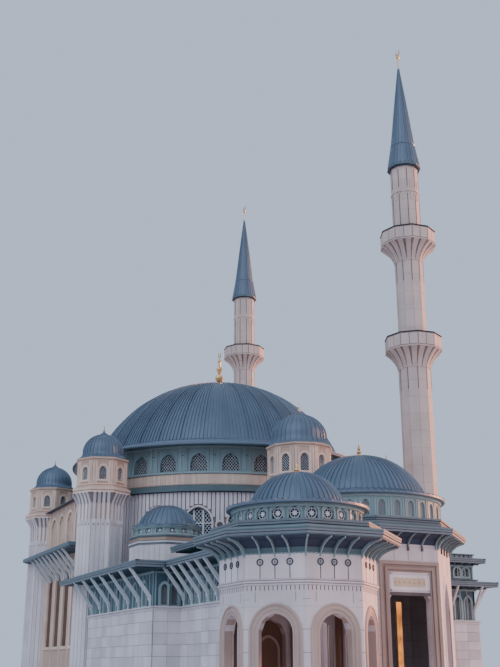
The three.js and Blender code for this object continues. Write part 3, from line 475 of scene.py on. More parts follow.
def material(name, colour, roughness, metallic=0.0, cloud=0.25, streak=0.15, island=0.12, grain=0.15,
             joints=None, under=None):
    """Finish with soft clouds, rain streaks, a tone of its own on each separate slab, and a fine grain.

    Joints are a course height and a width. Faces that look down take the colour under, a painted shade."""
    made, tree, shader, place = blank(name)
    clouds = noise(tree, place, 0.9)
    streaks = noise(tree, place, 3.0, (1, 1, 0.08))
    geometry = node(tree, "ShaderNodeNewGeometry", {})
    islands = maths(tree, "SUBTRACT", geometry.outputs["Random Per Island"], 0.5)
    tone = 1.0
    for value, strength in ((clouds, cloud), (streaks, streak), (islands, island)):
        tone = varied(tree, tone, value, strength * 2)
    if joints:
        tone = maths(tree, "MULTIPLY", tone, joint_lines(tree, place, *joints))
    base = linear(*colour)
    # Faces that look down take the colour under: painted shade beneath eaves and ledges.
    if under:
        level = node(tree, "ShaderNodeSeparateXYZ", {0: geometry.outputs["Normal"]}).outputs[2]
        base = mix(tree, maths(tree, "LESS_THAN", level, -0.3), base, linear(*under))
    feed(tree, shader, {"Base Color": mix(tree, 1.0, base, tone, "MULTIPLY"), "Metallic": metallic,
                        "Roughness": varied(tree, roughness, clouds, 0.3),
                        "Normal": bump(tree, noise(tree, place, 45.0), grain)})
    return made


def glass_material(name, colour):
    made, tree, shader, place = blank(name)
    tone = varied(tree, 1.0, noise(tree, place, 1.5), 1.2)
    feed(tree, shader, {"Base Color": mix(tree, 1.0, linear(*colour), tone, "MULTIPLY"), "Roughness": 0.3,
                        "Specular IOR Level": 0.2, "Normal": bump(tree, noise(tree, place, 4.0), 0.1)})
    return made


# Surface that glows though it is no lamp: painted light.
def glow_material(name, colour):
    made, tree, shader, place = blank(name)
    tint = mix(tree, 1.0, linear(*colour), varied(tree, 0.55, noise(tree, place, 2.5), 1.6), "MULTIPLY")
    feed(tree, shader, {"Base Color": tint, "Emission Color": tint, "Emission Strength": 1.2})
    return made


STONE = material("pale_stone", (214, 208, 210), 0.75)
MINARET_STONE = material("minaret_stone", (196, 182, 174), 0.75, island=0.03)
ARCH_STONE = material("arch_stone", (176, 158, 148), 0.75)
CUT_STONE = material("pale_stone_courses", (206, 200, 202), 0.75, island=0.0, joints=(0.6, 0.012))
WARM_STONE = material("warm_stone", (216, 192, 174), 0.75)
WARM_COURSES = material("warm_stone_courses", (190, 164, 146), 0.75, island=0.0)
TAUPE = material("taupe_stone", (160, 140, 130), 0.75)
# Darker stone that stands for shade between ribs: painted shade behind the hall ribs, the corbel fins and the
# turret brackets.
PAINTED_RIB_SHADE = material("shaded_stone", (140, 126, 124), 0.85, island=0.0)
# Dark stone of joints, the portal lintel and medallion centres; on the minarets it is painted shade in the
# grooves.
DARK_STONE_AND_SHADE = material("dark_stone_and_groove_shade", (96, 88, 88), 0.85, island=0.0)
LEAD = material("lead_sheet", (92, 110, 126), 0.42, metallic=0.3, cloud=0.15, island=0.0, grain=0.08)
PATINA = material("pale_teal_trim", (138, 160, 162), 0.6, grain=0.08)
PATINA_WALL = material("pale_teal_cladding", (136, 164, 166), 0.6, island=0.0, grain=0.08)
WING_WALL = material("deep_teal_cladding", (66, 94, 106), 0.6, island=0.0, grain=0.08)
# Dark teal sheet whose faces that look down take a navy painted shade, the shadow line under eaves and
# ledges.
LEDGE = material("dark_teal_sheet", (80, 106, 112), 0.5, metallic=0.15, island=0.0, grain=0.08,
                 under=(46, 58, 78))
FASCIA = material("fascia_boards", (108, 120, 128), 0.6, grain=0.08)
BARS = material("white_painted_bars", (214, 220, 224), 0.5, cloud=0.1, streak=0.05, island=0.04, grain=0.05)
DARK = material("dark_joint", (44, 50, 58), 0.8, grain=0.1)
TIMBER = material("brown_lining", (122, 92, 76), 0.7)
COPPER = material("dull_copper", (164, 136, 116), 0.5, metallic=0.3, grain=0.05)
GOLD = material("gilt", (214, 182, 128), 0.3, metallic=0.85, cloud=0.1, streak=0.05, island=0.0, grain=0.03)
GLASS = glass_material("dark_glass", (22, 30, 42))
GLOW = glow_material("painted_interior_glow", (240, 150, 60))


# Main dome, its drum and the stone band below.
def dome_arc(radius, angles):
    return [(radius * math.sin(a), DOME.centre + radius * math.cos(a)) for a in angles]


def main_dome():
    angle, stop = math.asin(DOME.skirt / DOME.radius), math.asin(DOME.cap / DOME.radius)
    shell = dome_arc(DOME.radius, spread(angle, stop, 27))
    eave, edge = DOME.eave, DOME.edge
    flare = bezier((eave - 0.32, edge + 0.34), (12.9, 21.05), shell[0], 5)
    outer = [(eave - 0.2, edge - 0.12), (eave - 0.02, edge - 0.08), (eave, edge + 0.02),
             (eave - 0.06, edge + 0.12), (eave - 0.3, edge + 0.26), *flare, *shell[1:]]
    inside = DOME.radius - DOME.thickness
    foot = math.acos((DRUM.top - DOME.centre) / inside)
    hollow = [(DRUM.radius + 0.15, DRUM.top), *dome_arc(inside, spread(foot, foot / 10, 10))]
    roof = Build()
    roof.seamed(outer, hollow, DOME.seams, 0.11, 0.09, 0, 0, plain=10, bold=6)
    piece("main_dome_roof", roof, LEAD, ["main_dome"])


def star_screen(build, place, window, w0, w1):
    """Ring with an eight-pointed star that fills the width of a small window."""
    width, sill, _, apex = window
    radius, v = width * 0.42, (sill + apex) / 2 - 0.02
    build.ring(place, 0, v, radius, radius * 0.84, w0, w1)
    build.plate(place, star_points(0, v, radius * 0.66, radius * 0.36), w0, w1)
    for start, end in zip(circle_points(0, v, radius * 0.6, 4), circle_points(0, v, radius * 1.2, 4)):
        build.bar(place, start, end, 0.03, w0, w1)


def drum_bay(trim, bars, panes, place, window, half_bay, screen, recess, pilaster):
    """Window with its surround, screen and pane, and half a pilaster at each end of the bay.

    The screen is the pitch and the bars' width of a lattice, or None for a star."""
    trim.arch(place, window, [(-0.03, -recess), (-0.03, 0.02), (0.0, 0.04), (0.1, 0.04), (0.12, -0.02)])
    if screen:
        pitch, bar = screen
        bars.lattice(place, arch_outline(window, -0.04), pitch, 1.15, bar, -recess + 0.02, -recess + 0.05)
    else:
        star_screen(bars, place, window, -recess + 0.02, -recess + 0.05)
    panes.plate(place, arch_outline(window), -recess - 0.03, -recess - 0.01)
    for side in (-1, 1):
        u0, u1 = sorted((side * (half_bay - pilaster.width), side * (half_bay - pilaster.gap)))
        trim.block(place, u0, u1, window[1] - 0.15, window[3] + pilaster.over, 0, pilaster.proud)


def drum_pieces(prefix, trim, bars, panes):
    piece(f"{prefix}_trim", trim, PATINA)
    piece(f"{prefix}_lattice", bars, BARS)
    piece(f"{prefix}_panes", panes, GLASS)


def main_drum():
    trim, bars, panes, dark, band = builds(5)
    half = math.pi * DRUM.radius / DRUM.bays
    slabs = math.pi * BAND.radius / DRUM.bays
    pilaster = Size(over=0.68, width=0.42, gap=0.1, proud=0.07)
    low, high = BAND.top + 0.2, DRUM.top - 0.6
    for place in walls(DRUM.bays, DRUM.radius, 0, 0, DRUM.turn):
        drum_bay(trim, bars, panes, place, DRUM.window, half, (0.26, 0.032), 0.36, pilaster)
        for u0, u1, v0 in ((-0.98, -0.9, low), (0.9, 0.98, low), (-0.98, 0.98, high - 0.08)):
            trim.block(place, u0, u1, v0, high, 0, 0.05)
        for u in (half - 0.12, half + 0.06):
            dark.block(place, u, u + 0.06, high - 0.6, high - 0.54, -0.02, 0.075)
    for place in walls(DRUM.bays, BAND.radius, 0, 0, DRUM.turn):
        band.slabs(place, -slabs, slabs, BAND.bottom + 0.06, BAND.top - 0.05, 12, 1, 0.03, -0.02, 0.04)
    edge = polygon(DRUM.bays, DRUM.radius, 0, 0, DRUM.turn)
    sill = ((0, -0.02), (0.56, -0.02), (0.6, 0.04), (0.6, 0.12), (0.45, 0.16), (0.42, 0.22), (0.12, 0.3),
            (0, 0.3))
    trim.moulding([(out, BAND.top + up) for out, up in sill], edge)
    lintel = ((0, -0.48), (0.08, -0.48), (0.12, -0.4), (0.12, -0.3), (0, -0.24))
    trim.moulding([(out, DRUM.top + up) for out, up in lintel], edge)
    drum_pieces("main_drum", trim, bars, panes)
    piece("main_drum_vents", dark, DARK)
    piece("stone_band_slabs", band, WARM_STONE)


# Small domes on their drums: portal, pavilion and the one beside the hall.
def cap_curve(base, height, apex, end, steps):
    """Circular dome profile from the base radius up to the end radius."""
    rise = apex - height
    radius = (base ** 2 + rise ** 2) / (2 * rise)
    start = math.asin(min(1.0, base / radius))
    start = math.pi - start if rise > radius else start
    angles = spread(start, math.asin(end / radius), steps + 1)
    return [(radius * math.sin(a), apex - radius + radius * math.cos(a)) for a in angles]


def small_dome(name, size):
    """Seamed dome and the bays of its drum; the new dome stands for the solid one."""
    x, y, rim, seat = size.x, size.y, size.rim, size.drum_top
    base, height, apex = size.dome, size.height, size.apex
    cap = cap_curve(base, height, apex, 0.14, 18)
    shoulder = (base + (rim - base) * 0.3, height - (height - seat) * 0.45)
    flare = bezier((rim - 0.02, seat + 0.12), shoulder, cap[0], 5)
    outer = [(rim - 0.1, seat - 0.08), (rim - 0.01, seat - 0.03), (rim, seat + 0.05), *flare, *cap[1:]]
    hollow = [(size.drum + 0.08, seat), *cap_curve(base - 0.2, height, apex - 0.3, 0.1, 6)]
    roof, trim, bars, panes = builds(4)
    roof.seamed(outer, hollow, size.seams, 0.09, 0.07, x, y)
    piece(f"{name}_sheet", roof, LEAD, [size.node])
    half = math.pi * size.drum / size.bays
    side = (half - size.window[0] / 2 - 0.12) * 0.8
    pilaster = Size(over=0.12, width=side + 0.02, gap=0.03, proud=0.06)
    screen = (size.pitch, 0.026) if size.pitch else None
    for place in walls(size.bays, size.drum, x, y, size.turn):
        drum_bay(trim, bars, panes, place, size.window, half, screen, 0.16, pilaster)
    edge = polygon(size.bays, size.drum, x, y, size.turn)
    foot, head = size.roof, seat - 0.03
    trim.moulding([(0, foot), (0.24, foot), (0.26, foot + 0.06), (0.2, foot + 0.1), (0.08, foot + 0.14),
                   (0, foot + 0.14)], edge)
    trim.moulding([(0, head - 0.2), (0.1, head - 0.2), (0.14, head - 0.1), (0.22, head - 0.06), (0.22, head),
                   (0, head)], edge)
    drum_pieces(f"{name}_drum", trim, bars, panes)


main_dome()
main_drum()
small_dome("portal", PORTAL)
small_dome("pavilion", PAVILION)
small_dome("side_dome", SIDE)


# Turrets, and the spikes and balls on the smaller domes.
def spike(build, x, y, bottom, top, width):
    rise = top - bottom
    levels = [(1.0, 0.0), (0.95, 0.06), (0.35, 0.1), (0.3, 0.16)]
    for middle, size in ((0.3, 0.62), (0.52, 0.44), (0.68, 0.3)):
        half = size * width / rise
        levels += [(0.18, middle - half), (size * 0.8, middle - half * 0.55), (size, middle),
                   (size * 0.8, middle + half * 0.55), (0.18, middle + half)]
    levels += [(0.1, 0.8), (0.1, 0.84), (0.04, 1.0)]
    build.turned([(width * r, bottom + rise * z) for r, z in levels], 12, x, y)


def turret_dome(roof, cap, spikes, size, x, y):
    """Dome of a turret with its knob and spike."""
    top, radius, apex = size.top, size.dome, size.apex
    shoulder = top + 0.28 * (apex - top)
    rim = size.drum + 0.14
    foot = bezier((rim, top + 0.08), (radius + 0.1, top + 0.2), (radius, shoulder - 0.2), 5)
    crown = [(radius * math.cos(a), shoulder + (apex - 0.22 - shoulder) * math.sin(a))
             for a in (math.radians(5.5 * i) for i in range(14))]
    ogee = bezier(crown[-1], (radius * 0.18, apex - 0.2), (0.18, apex - 0.06), 5)
    hollow = [(size.drum - 0.35, top), (radius - 0.14, shoulder - 0.2),
              (radius * 0.6, shoulder + 0.5 * (apex - shoulder)), (0.05, apex - 0.4)]
    roof.seamed([(rim, top), *foot, *crown, *ogee[1:]], hollow, 32, 0.06, 0.05, x, y)
    knob = ((0.2, -0.16), (0.3, -0.2), (0.3, -0.12), (0.16, -0.02), (0.08, 0.1), (0.004, 0.16))
    cap.turned([(r, apex + z) for r, z in knob], 16, x, y)
    spike(spikes, x, y, apex + 0.15, size.spike, 0.11)


def turret(name, size, x, y, turn, foot):
    stone, ribs, bars, panes, shade = builds(5)
    sides, window, sill, top = size.sides, size.window, size.sill, size.top
    bracket, ledge = size.bracket, size.ledge
    reach = size.cornice - size.shaft
    half_drum, half_shaft = half_side(size.drum, sides), half_side(size.shaft, sides)
    rib, board = half_shaft / 2 * 0.29, half_shaft / 4 - 0.015
    grooved = bracket - 1.4
    curve = bezier((0.08, bracket - 0.1), (0.26, bracket + 0.5), (reach + 0.07, ledge - 0.12), 6)
    outline = [(-0.05, bracket - 0.1), *curve, (reach + 0.07, ledge - 0.03), (-0.05, ledge - 0.03)]
    for drum, shaft in zip(walls(sides, size.drum, x, y, turn), walls(sides, size.shaft, x, y, turn)):
        stone.arch(drum, window, [(-0.03, -0.2), (-0.03, 0.04), (0.02, 0.07), (0.16, 0.07), (0.16, -0.02)])
        bars.lattice(drum, arch_outline(window, -0.03), 0.2, 1.15, 0.018, -0.16, -0.13)
        panes.plate(drum, arch_outline(window), -0.2, -0.18)
        for u in (-half_drum + 0.03, -half_drum + 0.24, half_drum - 0.4, half_drum - 0.19):
            stone.block(drum, u, u + 0.16, sill + 0.12, top - 0.34, -0.02, 0.06)
        for u in middles(-half_shaft, half_shaft, 4):
            ribs.slab(shaft, u - rib, u + rib, outline)
            for half, low, high, out in ((rib, grooved, bracket + 0.06, 0.08),
                                         (board, foot, grooved - 0.52, 0.06),
                                         (board, grooved - 0.34, grooved, 0.08)):
                ribs.block(shaft, u - half, u + half, low, high, -0.04, out)
            for side in (-1, 1):
                edges = sorted((u + side * 0.06, u + side * board))
                ribs.block(shaft, *edges, grooved - 0.52, grooved - 0.34, -0.04, 0.07)
    # Sheet over the corbel's cone between the brackets, in darker stone: painted shade in the gaps.
    low, high = bracket + 0.02, ledge - 0.06
    shade.moulding([(-0.1, low), (0.02, low), (reach - 0.01, high), (reach - 0.2, high)],
                   polygon(sides, size.shaft, x, y, turn))
    stone.bands(polygon(sides, size.drum, x, y, turn), (
        (sill, sill + 0.12, 0.08), (top - 0.34, top - 0.24, 0.07), (top - 0.16, top - 0.02, 0.13)), 0, 0.02)
    stone.bands(polygon(sides, size.cornice, x, y, turn), (
        (ledge - 0.08, ledge + 0.06, 0.05), (ledge + 0.14, ledge + 0.33, 0.08)), 0.1)
    piece(f"{name}_drum_trim", stone, WARM_STONE)
    piece(f"{name}_shaft_ribs", ribs, STONE)
    piece(f"{name}_lattice", bars, BARS)
    piece(f"{name}_panes", panes, GLASS)
    piece(f"{name}_bracket_gap_shade", shade, PAINTED_RIB_SHADE)


def turrets():
    caps, spikes = builds(2)
    places = [("front_turret", FRONT_TURRET, 0.0, FRONT_TURRET_Y, 18.0, 9.4)]
    for name, (azimuth, foot) in TURRETS.items():
        x, y, _ = around(0, 0, TURRET_RING, azimuth, 0)
        places.append((name, TURRET, x, y, azimuth, foot))
    for name, size, x, y, turn, foot in places:
        turret(name, size, x, y, turn, foot)
        roof = Build()
        turret_dome(roof, caps, spikes, size, x, y)
        piece(f"{name}_dome_sheet", roof, LEAD, [f"{name}_dome"])
    for size in (PORTAL, PAVILION):
        spike(spikes, size.x, size.y, size.apex - 0.05, size.spike, 0.3)
    piece("turret_dome_caps", caps, LEAD)
    piece("small_dome_spikes", spikes, GOLD)


turrets()


# Minarets.
def corbel(build, x, y, azimuth, apothem, deck):
    """Two curved ribs on one face of a balcony's corbel, whose gaps widen towards the top."""
    rim = BALCONY.radius - 0.02
    curve = bezier((apothem + 0.08, deck - 1.75), (apothem + 0.3, deck - 0.8), (rim, deck - 0.14), 8)
    curve.append((rim, deck - 0.04))
    for side in (-1, 1):
        rings = []
        for i, (radius, height) in enumerate(curve):
            face = wall(x, y, radius, azimuth)
            near, far = 0.02 + 0.014 * i, half_side(radius, MINARET.faces) - 0.02 - 0.016 * i
            rings.append([face(side * u, height, w)
                          for u, w in ((near, 0), (far, 0), (far, -0.25), (near, -0.25))])
        build.loft(rings)


def minaret(name, x, y, turn):
    stone, rails, groove_shade, roof, collar = builds(5)
    low_rim, high_rim = BALCONY.rims
    low_ring, high_ring = MINARET.ring
    shafts = [(MINARET.lower, MINARET.foot, low_rim), (MINARET.upper, low_rim - 0.9, high_rim),
              (MINARET.upper, high_rim - 0.9, None)]
    faces = MINARET.faces
    for apothem, foot, rim in shafts:
        half = half_side(apothem, faces)
        head = rim - BALCONY.parapet - BALCONY.corbel if rim else MINARET.top
        grooves = [(head - 2.3, head + 0.2)] if rim else [
            (high_rim + 0.1, low_ring - 0.2), (high_ring + 0.25, MINARET.top - 0.3)]
        rows = round((head - foot) / MINARET.course)
        edges = corners(faces, apothem + 0.04, x, y, turn)
        for place, corner in zip(walls(faces, apothem, x, y, turn), edges):
            stone.slabs(place, -half, half, foot, head + 0.1, 1, rows, 0.012, -0.02, 0.04)
            # Dark strips on the corners stand for grooves that are not cut: painted shade.
            for low, high in grooves:
                groove_shade.block(corner, -0.035, 0.035, low, high, -0.05, 0.01)
            if not rim:
                stone.block(place, -0.1, 0.1, low_ring - 0.8, high_ring + 0.9, 0, 0.09)
    stone.bands(polygon(faces, MINARET.upper, x, y, turn), ((low_ring, high_ring, 0.12),), 0, 0.05)
    edge, half = polygon(faces, BALCONY.radius, x, y, turn), half_side(BALCONY.radius, faces)
    for rim, apothem in ((low_rim, MINARET.lower), (high_rim, MINARET.upper)):
        deck = rim - BALCONY.parapet
        rails.bands(edge, ((rim, rim + 0.08, 0.07),), 0.24)
        stone.moulding([(-0.02, deck - 0.06), (0.05, deck - 0.06), (0.08, deck), (0.05, deck + 0.06),
                        (-0.02, deck + 0.08)], edge)
        for i, face in enumerate(walls(faces, BALCONY.radius, x, y, turn)):
            stone.slabs(face, -half, half, deck + 0.1, rim - 0.08, 2, 1, 0.07, -0.02, 0.05)
            corbel(stone, x, y, turn + 360 * i / faces, apothem, deck)
    ring, skirt, neck, tip, foot = SPIRE.ring, SPIRE.skirt, SPIRE.neck, SPIRE.tip, MINARET.top
    cone = list(zip(spread(neck + 0.02, 0.1, 7), spread(skirt, tip, 7)))
    roof.seamed(cone, [(neck - 0.1, skirt), (0.05, tip - 0.6)], 20, 0.07, 0.045, x, y, plain=0)
    roof.moulding([(-0.1, skirt - 0.1), (0.07, skirt - 0.1), (0.1, skirt), (0.07, skirt + 0.1),
                   (-0.1, skirt + 0.12)], polygon(28, neck, x, y))
    roof.seamed([(ring - 0.03, foot + 0.34), (neck + 0.02, skirt)],
                [(ring - 0.3, foot + 0.34), (neck - 0.3, skirt)], 24, 0.16, 0.07, x, y, plain=0)
    lip = ((-0.4, 0), (-0.06, 0), (0.02, 0.1), (0.02, 0.26), (-0.05, 0.36), (-0.4, 0.36))
    collar.moulding([(out, foot + up) for out, up in lip], polygon(faces, ring, x, y, turn))
    piece(f"{name}_trim", stone, MINARET_STONE)
    piece(f"{name}_rails", rails, DARK)
    piece(f"{name}_slots", groove_shade, DARK_STONE_AND_SHADE)
    piece(f"{name}_spire_sheet", roof, LEAD, [f"{name}_spire"])
    piece(f"{name}_spire_collar", collar, LEDGE)


def spire_tip(build, x, y):
    """Stem, ball and crescent of a spire; the crescent's flat face looks along X."""
    tip, ball, size = SPIRE.tip, SPIRE.ball, SPIRE.crescent
    build.turned([(0.12, tip - 0.25), (0.1, tip), (0.055, tip + 0.2), (0.055, ball - 0.25),
                  (0.13, ball - 0.16), (0.18, ball - 0.07), (0.18, ball + 0.07), (0.13, ball + 0.16),
                  (0.055, ball + 0.21)], 14, x, y)
    middle = ball + 0.16 + size
    place = wall(x, y, 0, 90)
    rings = []
    for outer, inner in zip(spread(132, 408, 13), spread(142.4, 397.6, 13)):
        a, b = math.radians(outer), math.radians(inner)
        far = (size * math.cos(a), middle + size * math.sin(a))
        near = (size * 0.82 * math.cos(b), middle + size * 0.26 + size * 0.82 * math.sin(b))
        rings.append([place(*far, -0.04), place(*far, 0.04), place(*near, 0.04), place(*near, -0.04)])
    build.loft(rings)


def minarets():
    tips = Build()
    for name, (x, y, turn) in MINARET_PLACES.items():
        minaret(name, x, y, turn)
        spire_tip(tips, x, y)
    piece("minaret_tips", tips, GOLD)


minarets()


# Round hall wall: ribs, tall windows, piers and medallions.
def big_window(builds, place, window, profile, uprights, levels, glass):
    """Tall window with its moulding, upright bars, level bars and pane.

    Uprights are places, a width, a back and a front; levels are heights and the same."""
    trim, bars, panes = builds
    trim.arch(place, window, profile, steps=8)
    outline = arch_outline(window, -0.03, steps=8)
    for u in uprights[0]:
        line = clipped((u, 0), (u, 30), outline)
        if line:
            bars.bar(place, *line, *uprights[1:])
    for v in levels[0]:
        bars.bar(place, *clipped((-5, v), (5, v), outline), *levels[1:])
    panes.plate(place, arch_outline(window, steps=8), *glass)


def hall_ribs(ribs, start, end, foot, centres):
    """Ribs on one curved wall between its piers, with the windows at their centres left free."""
    step, grow = 1.5, 0.16
    for i in range(3, round((end - start) / step) - 3):
        azimuth = start + step * (i + 0.5)
        spans = [(foot, HALL.top)]
        for centre in centres:
            high = arch_height(HALL.window, HALL.radius * math.radians(azimuth - centre), grow)
            if high:
                spans = [(foot, HALL.window[1] - 0.35), (high + 0.08, HALL.top)]
        for low, high in spans:
            if high - low > 0.2:
                ribs.block(wall(0, 0, HALL.radius, azimuth), -0.145, 0.145, low, high, -0.08, 0.09)


def pier_ribs(ribs, edge, turn, foot):
    """Ribs on the front and flank of a pier; turn is 1 where a curved wall starts and -1 where it ends."""
    flank, reach = ENTRANCE_PIER if edge == 0 else TURRET_PIER
    for k in range(3):
        front = wall(0, 0, reach, edge + turn * (flank - 0.65 - 1.3 * k))
        ribs.block(front, -0.125, 0.125, foot, HALL.top, -0.08, 0.08)
    side = wall(0, 0, 0, edge + turn * (flank + 90))
    for k in range(5):
        u = -turn * (reach - 0.2 - 0.38 * k)
        ribs.block(side, u - 0.125, u + 0.125, foot, HALL.top, -0.08, 0.08)


def hall_walls():
    ribs, bars, panes, dark = builds(4)
    profile = [(-0.03, -0.4), (-0.03, 0.1), (0.04, 0.13), (0.13, 0.13), (0.13, -0.1)]
    uprights = ((-0.4, 0.4), 0.13, -0.32, -0.14)
    levels = ((HALL.window[1] + 1.9, HALL.window[2]), 0.09, -0.3, -0.2)
    for start, foot in HALL_WALLS:
        end = start + 60
        centres = [start + 15 * k for k in (1, 2, 3)]
        hall_ribs(ribs, start, end, foot, centres)
        pier_ribs(ribs, start, 1, foot)
        pier_ribs(ribs, end, -1, foot)
        for centre in centres:
            place = wall(0, 0, HALL.radius - 0.03, centre)
            bars.lattice(place, arch_outline(HALL.window, -0.03, steps=8), 0.3, 1.2, 0.04, -0.32, -0.28)
            big_window((ribs, bars, panes), place, HALL.window, profile, uprights, levels, (-0.38, -0.35))
        for centre in (start + 22.5, start + 37.5):
            place = wall(0, 0, HALL.radius, centre)
            radius = HALL.medallion_radius
            ribs.plate(place, circle_points(0, HALL.medallion, radius, 24), -0.05, 0.13)
            dark.plate(place, circle_points(0, HALL.medallion, radius * 0.62, 24), 0.1, 0.145)
    piece("hall_wall_ribs", ribs, STONE)
    piece("hall_window_bars", bars, BARS)
    piece("hall_window_panes", panes, GLASS)
    piece("hall_medallions", dark, DARK_STONE_AND_SHADE)


# Flat facades: tall arches with slats, a row of niches above, and the canopy between them.
def strut(build, place, u, reach, top):
    """Slanting strut under an eave with a small capital at its foot."""
    foot = top - 2.0
    build.slab(place, u - 0.06, u + 0.06, [
        (0.0, foot - 0.02), (0.18, foot - 0.02), (reach + 0.03, top - 0.06), (reach + 0.03, top),
        (reach - 0.17, top), (0.0, foot + 0.17)])
    build.block(place, u - 0.1, u + 0.1, foot - 0.12, foot + 0.02, 0, 0.22)
    build.block(place, u - 0.075, u + 0.075, foot - 0.22, foot - 0.12, 0, 0.17)


def facade(name, azimuth):
    stone, slats, panes, white, trim = builds(5)
    face = wall(0, 0, FACADE.distance, azimuth)
    centres = [k * FACADE.pitch for k in (-1.5, -0.5, 0.5, 1.5)]
    profile = [(-0.06, -0.45), (-0.06, 0.05), (0.05, 0.1), (0.2, 0.1), (0.24, -0.1)]
    uprights = ([i * 0.21 for i in range(-4, 5)], 0.09, -0.34, -0.1)
    for centre in centres:
        place = wall(0, centre, FACADE.distance, azimuth)
        for window, slat in ((FACADE.window, slats), (FACADE.niche, stone)):
            levels = ((window[1] + 1.2, window[2]), 0.1, -0.34, -0.12)
            big_window((stone, slat, panes), place, window, profile, uprights, levels, (-0.42, -0.38))
    for i in range(-27, 28):
        u = i * 0.29
        if min(abs(u - centre) for centre in centres) > 1.22:
            stone.block(face, u - 0.1, u + 0.1, FLOOR, CANOPY.bottom - 0.1, -0.05, 0.08)
            stone.block(face, u - 0.1, u + 0.1, CANOPY.top + 0.05, FACADE.top, -0.05, 0.08)
    low, reach = CANOPY.bottom, CANOPY.reach - FACADE.distance - 0.1
    out = wall(0, 0, CANOPY.reach, azimuth)
    for v, proud in ((low - 0.06, 0.0), (low + 0.08, 0.04), (low + 0.22, 0.08)):
        trim.block(out, -CANOPY.half, CANOPY.half, v, v + 0.1, -0.16, proud - 0.06)
    for i in range(-10, 11):
        trim.block(face, i * 0.8 - 0.05, i * 0.8 + 0.05, low - 0.14, low, 0.05, reach)
    for i in range(-4, 5):
        strut(white, face, i * 1.45, reach, low)
    piece(f"{name}_facade_trim", stone, WARM_STONE)
    piece(f"{name}_facade_slats", slats, TIMBER)
    piece(f"{name}_facade_panes", panes, GLASS)
    piece(f"{name}_canopy_struts", white, BARS)
    piece(f"{name}_canopy_trim", trim, FASCIA)


hall_walls()
facade("left", -90)
facade("right", 90)


# Octagonal roofs: fascia of three steps, parapet mouldings and curved brackets.
def console(build, place, u, width, top, reach, depth):
    """Curved bracket 1 m high that swells from the wall at its foot to its full reach at its head."""
    foot, head = top - 1.0, top + 0.02
    curve = bezier((depth, foot), (depth + reach * 0.15, head - (head - foot) * 0.3), (reach, head - 0.1), 5)
    build.slab(place, u - width / 2, u + width / 2, [(-0.05, foot), *curve, (reach, head), (-0.05, head)])


def octagon_roof(name, size):
    trim, ribs = builds(2)
    x, y, apothem, edge, roof = size.x, size.y, size.apothem, size.edge, size.roof
    fascia = [(edge + low, edge + high, out) for low, high, out in FASCIA_STEPS]
    trim.bands(polygon(8, size.eave, x, y), fascia, 0.25)
    mouldings = ((edge + 0.3, edge + 0.42, 0.16), (roof - 0.24, roof - 0.14, 0.06),
                 (roof - 0.1, roof + 0.04, 0.14))
    trim.bands(polygon(8, size.parapet, x, y), mouldings, 0.3)
    reach = size.eave - apothem - 0.15
    for place, corner in zip(walls(8, apothem, x, y), corners(8, apothem, x, y)):
        for u in size.brackets:
            console(ribs, place, u * half_side(apothem, 8), 0.07, size.soffit, reach, 0.06)
        console(ribs, corner, 0, 0.09, size.soffit, reach * 1.05, 0.08)
    piece(f"{name}_roof_trim", trim, FASCIA)
    piece(f"{name}_roof_brackets", ribs, PATINA)


def medallion(light, dark, place, u, v, radius, out):
    """Round rosette: a raised dark rim and an eight-pointed star on a dark field."""
    dark.ring(place, u, v, radius, radius * 0.7, 0, out)
    dark.plate(place, circle_points(u, v, radius * 0.8, 16), -0.01, out * 0.3)
    light.plate(place, star_points(u, v, radius * 0.46, radius * 0.2), 0, out * 0.8)


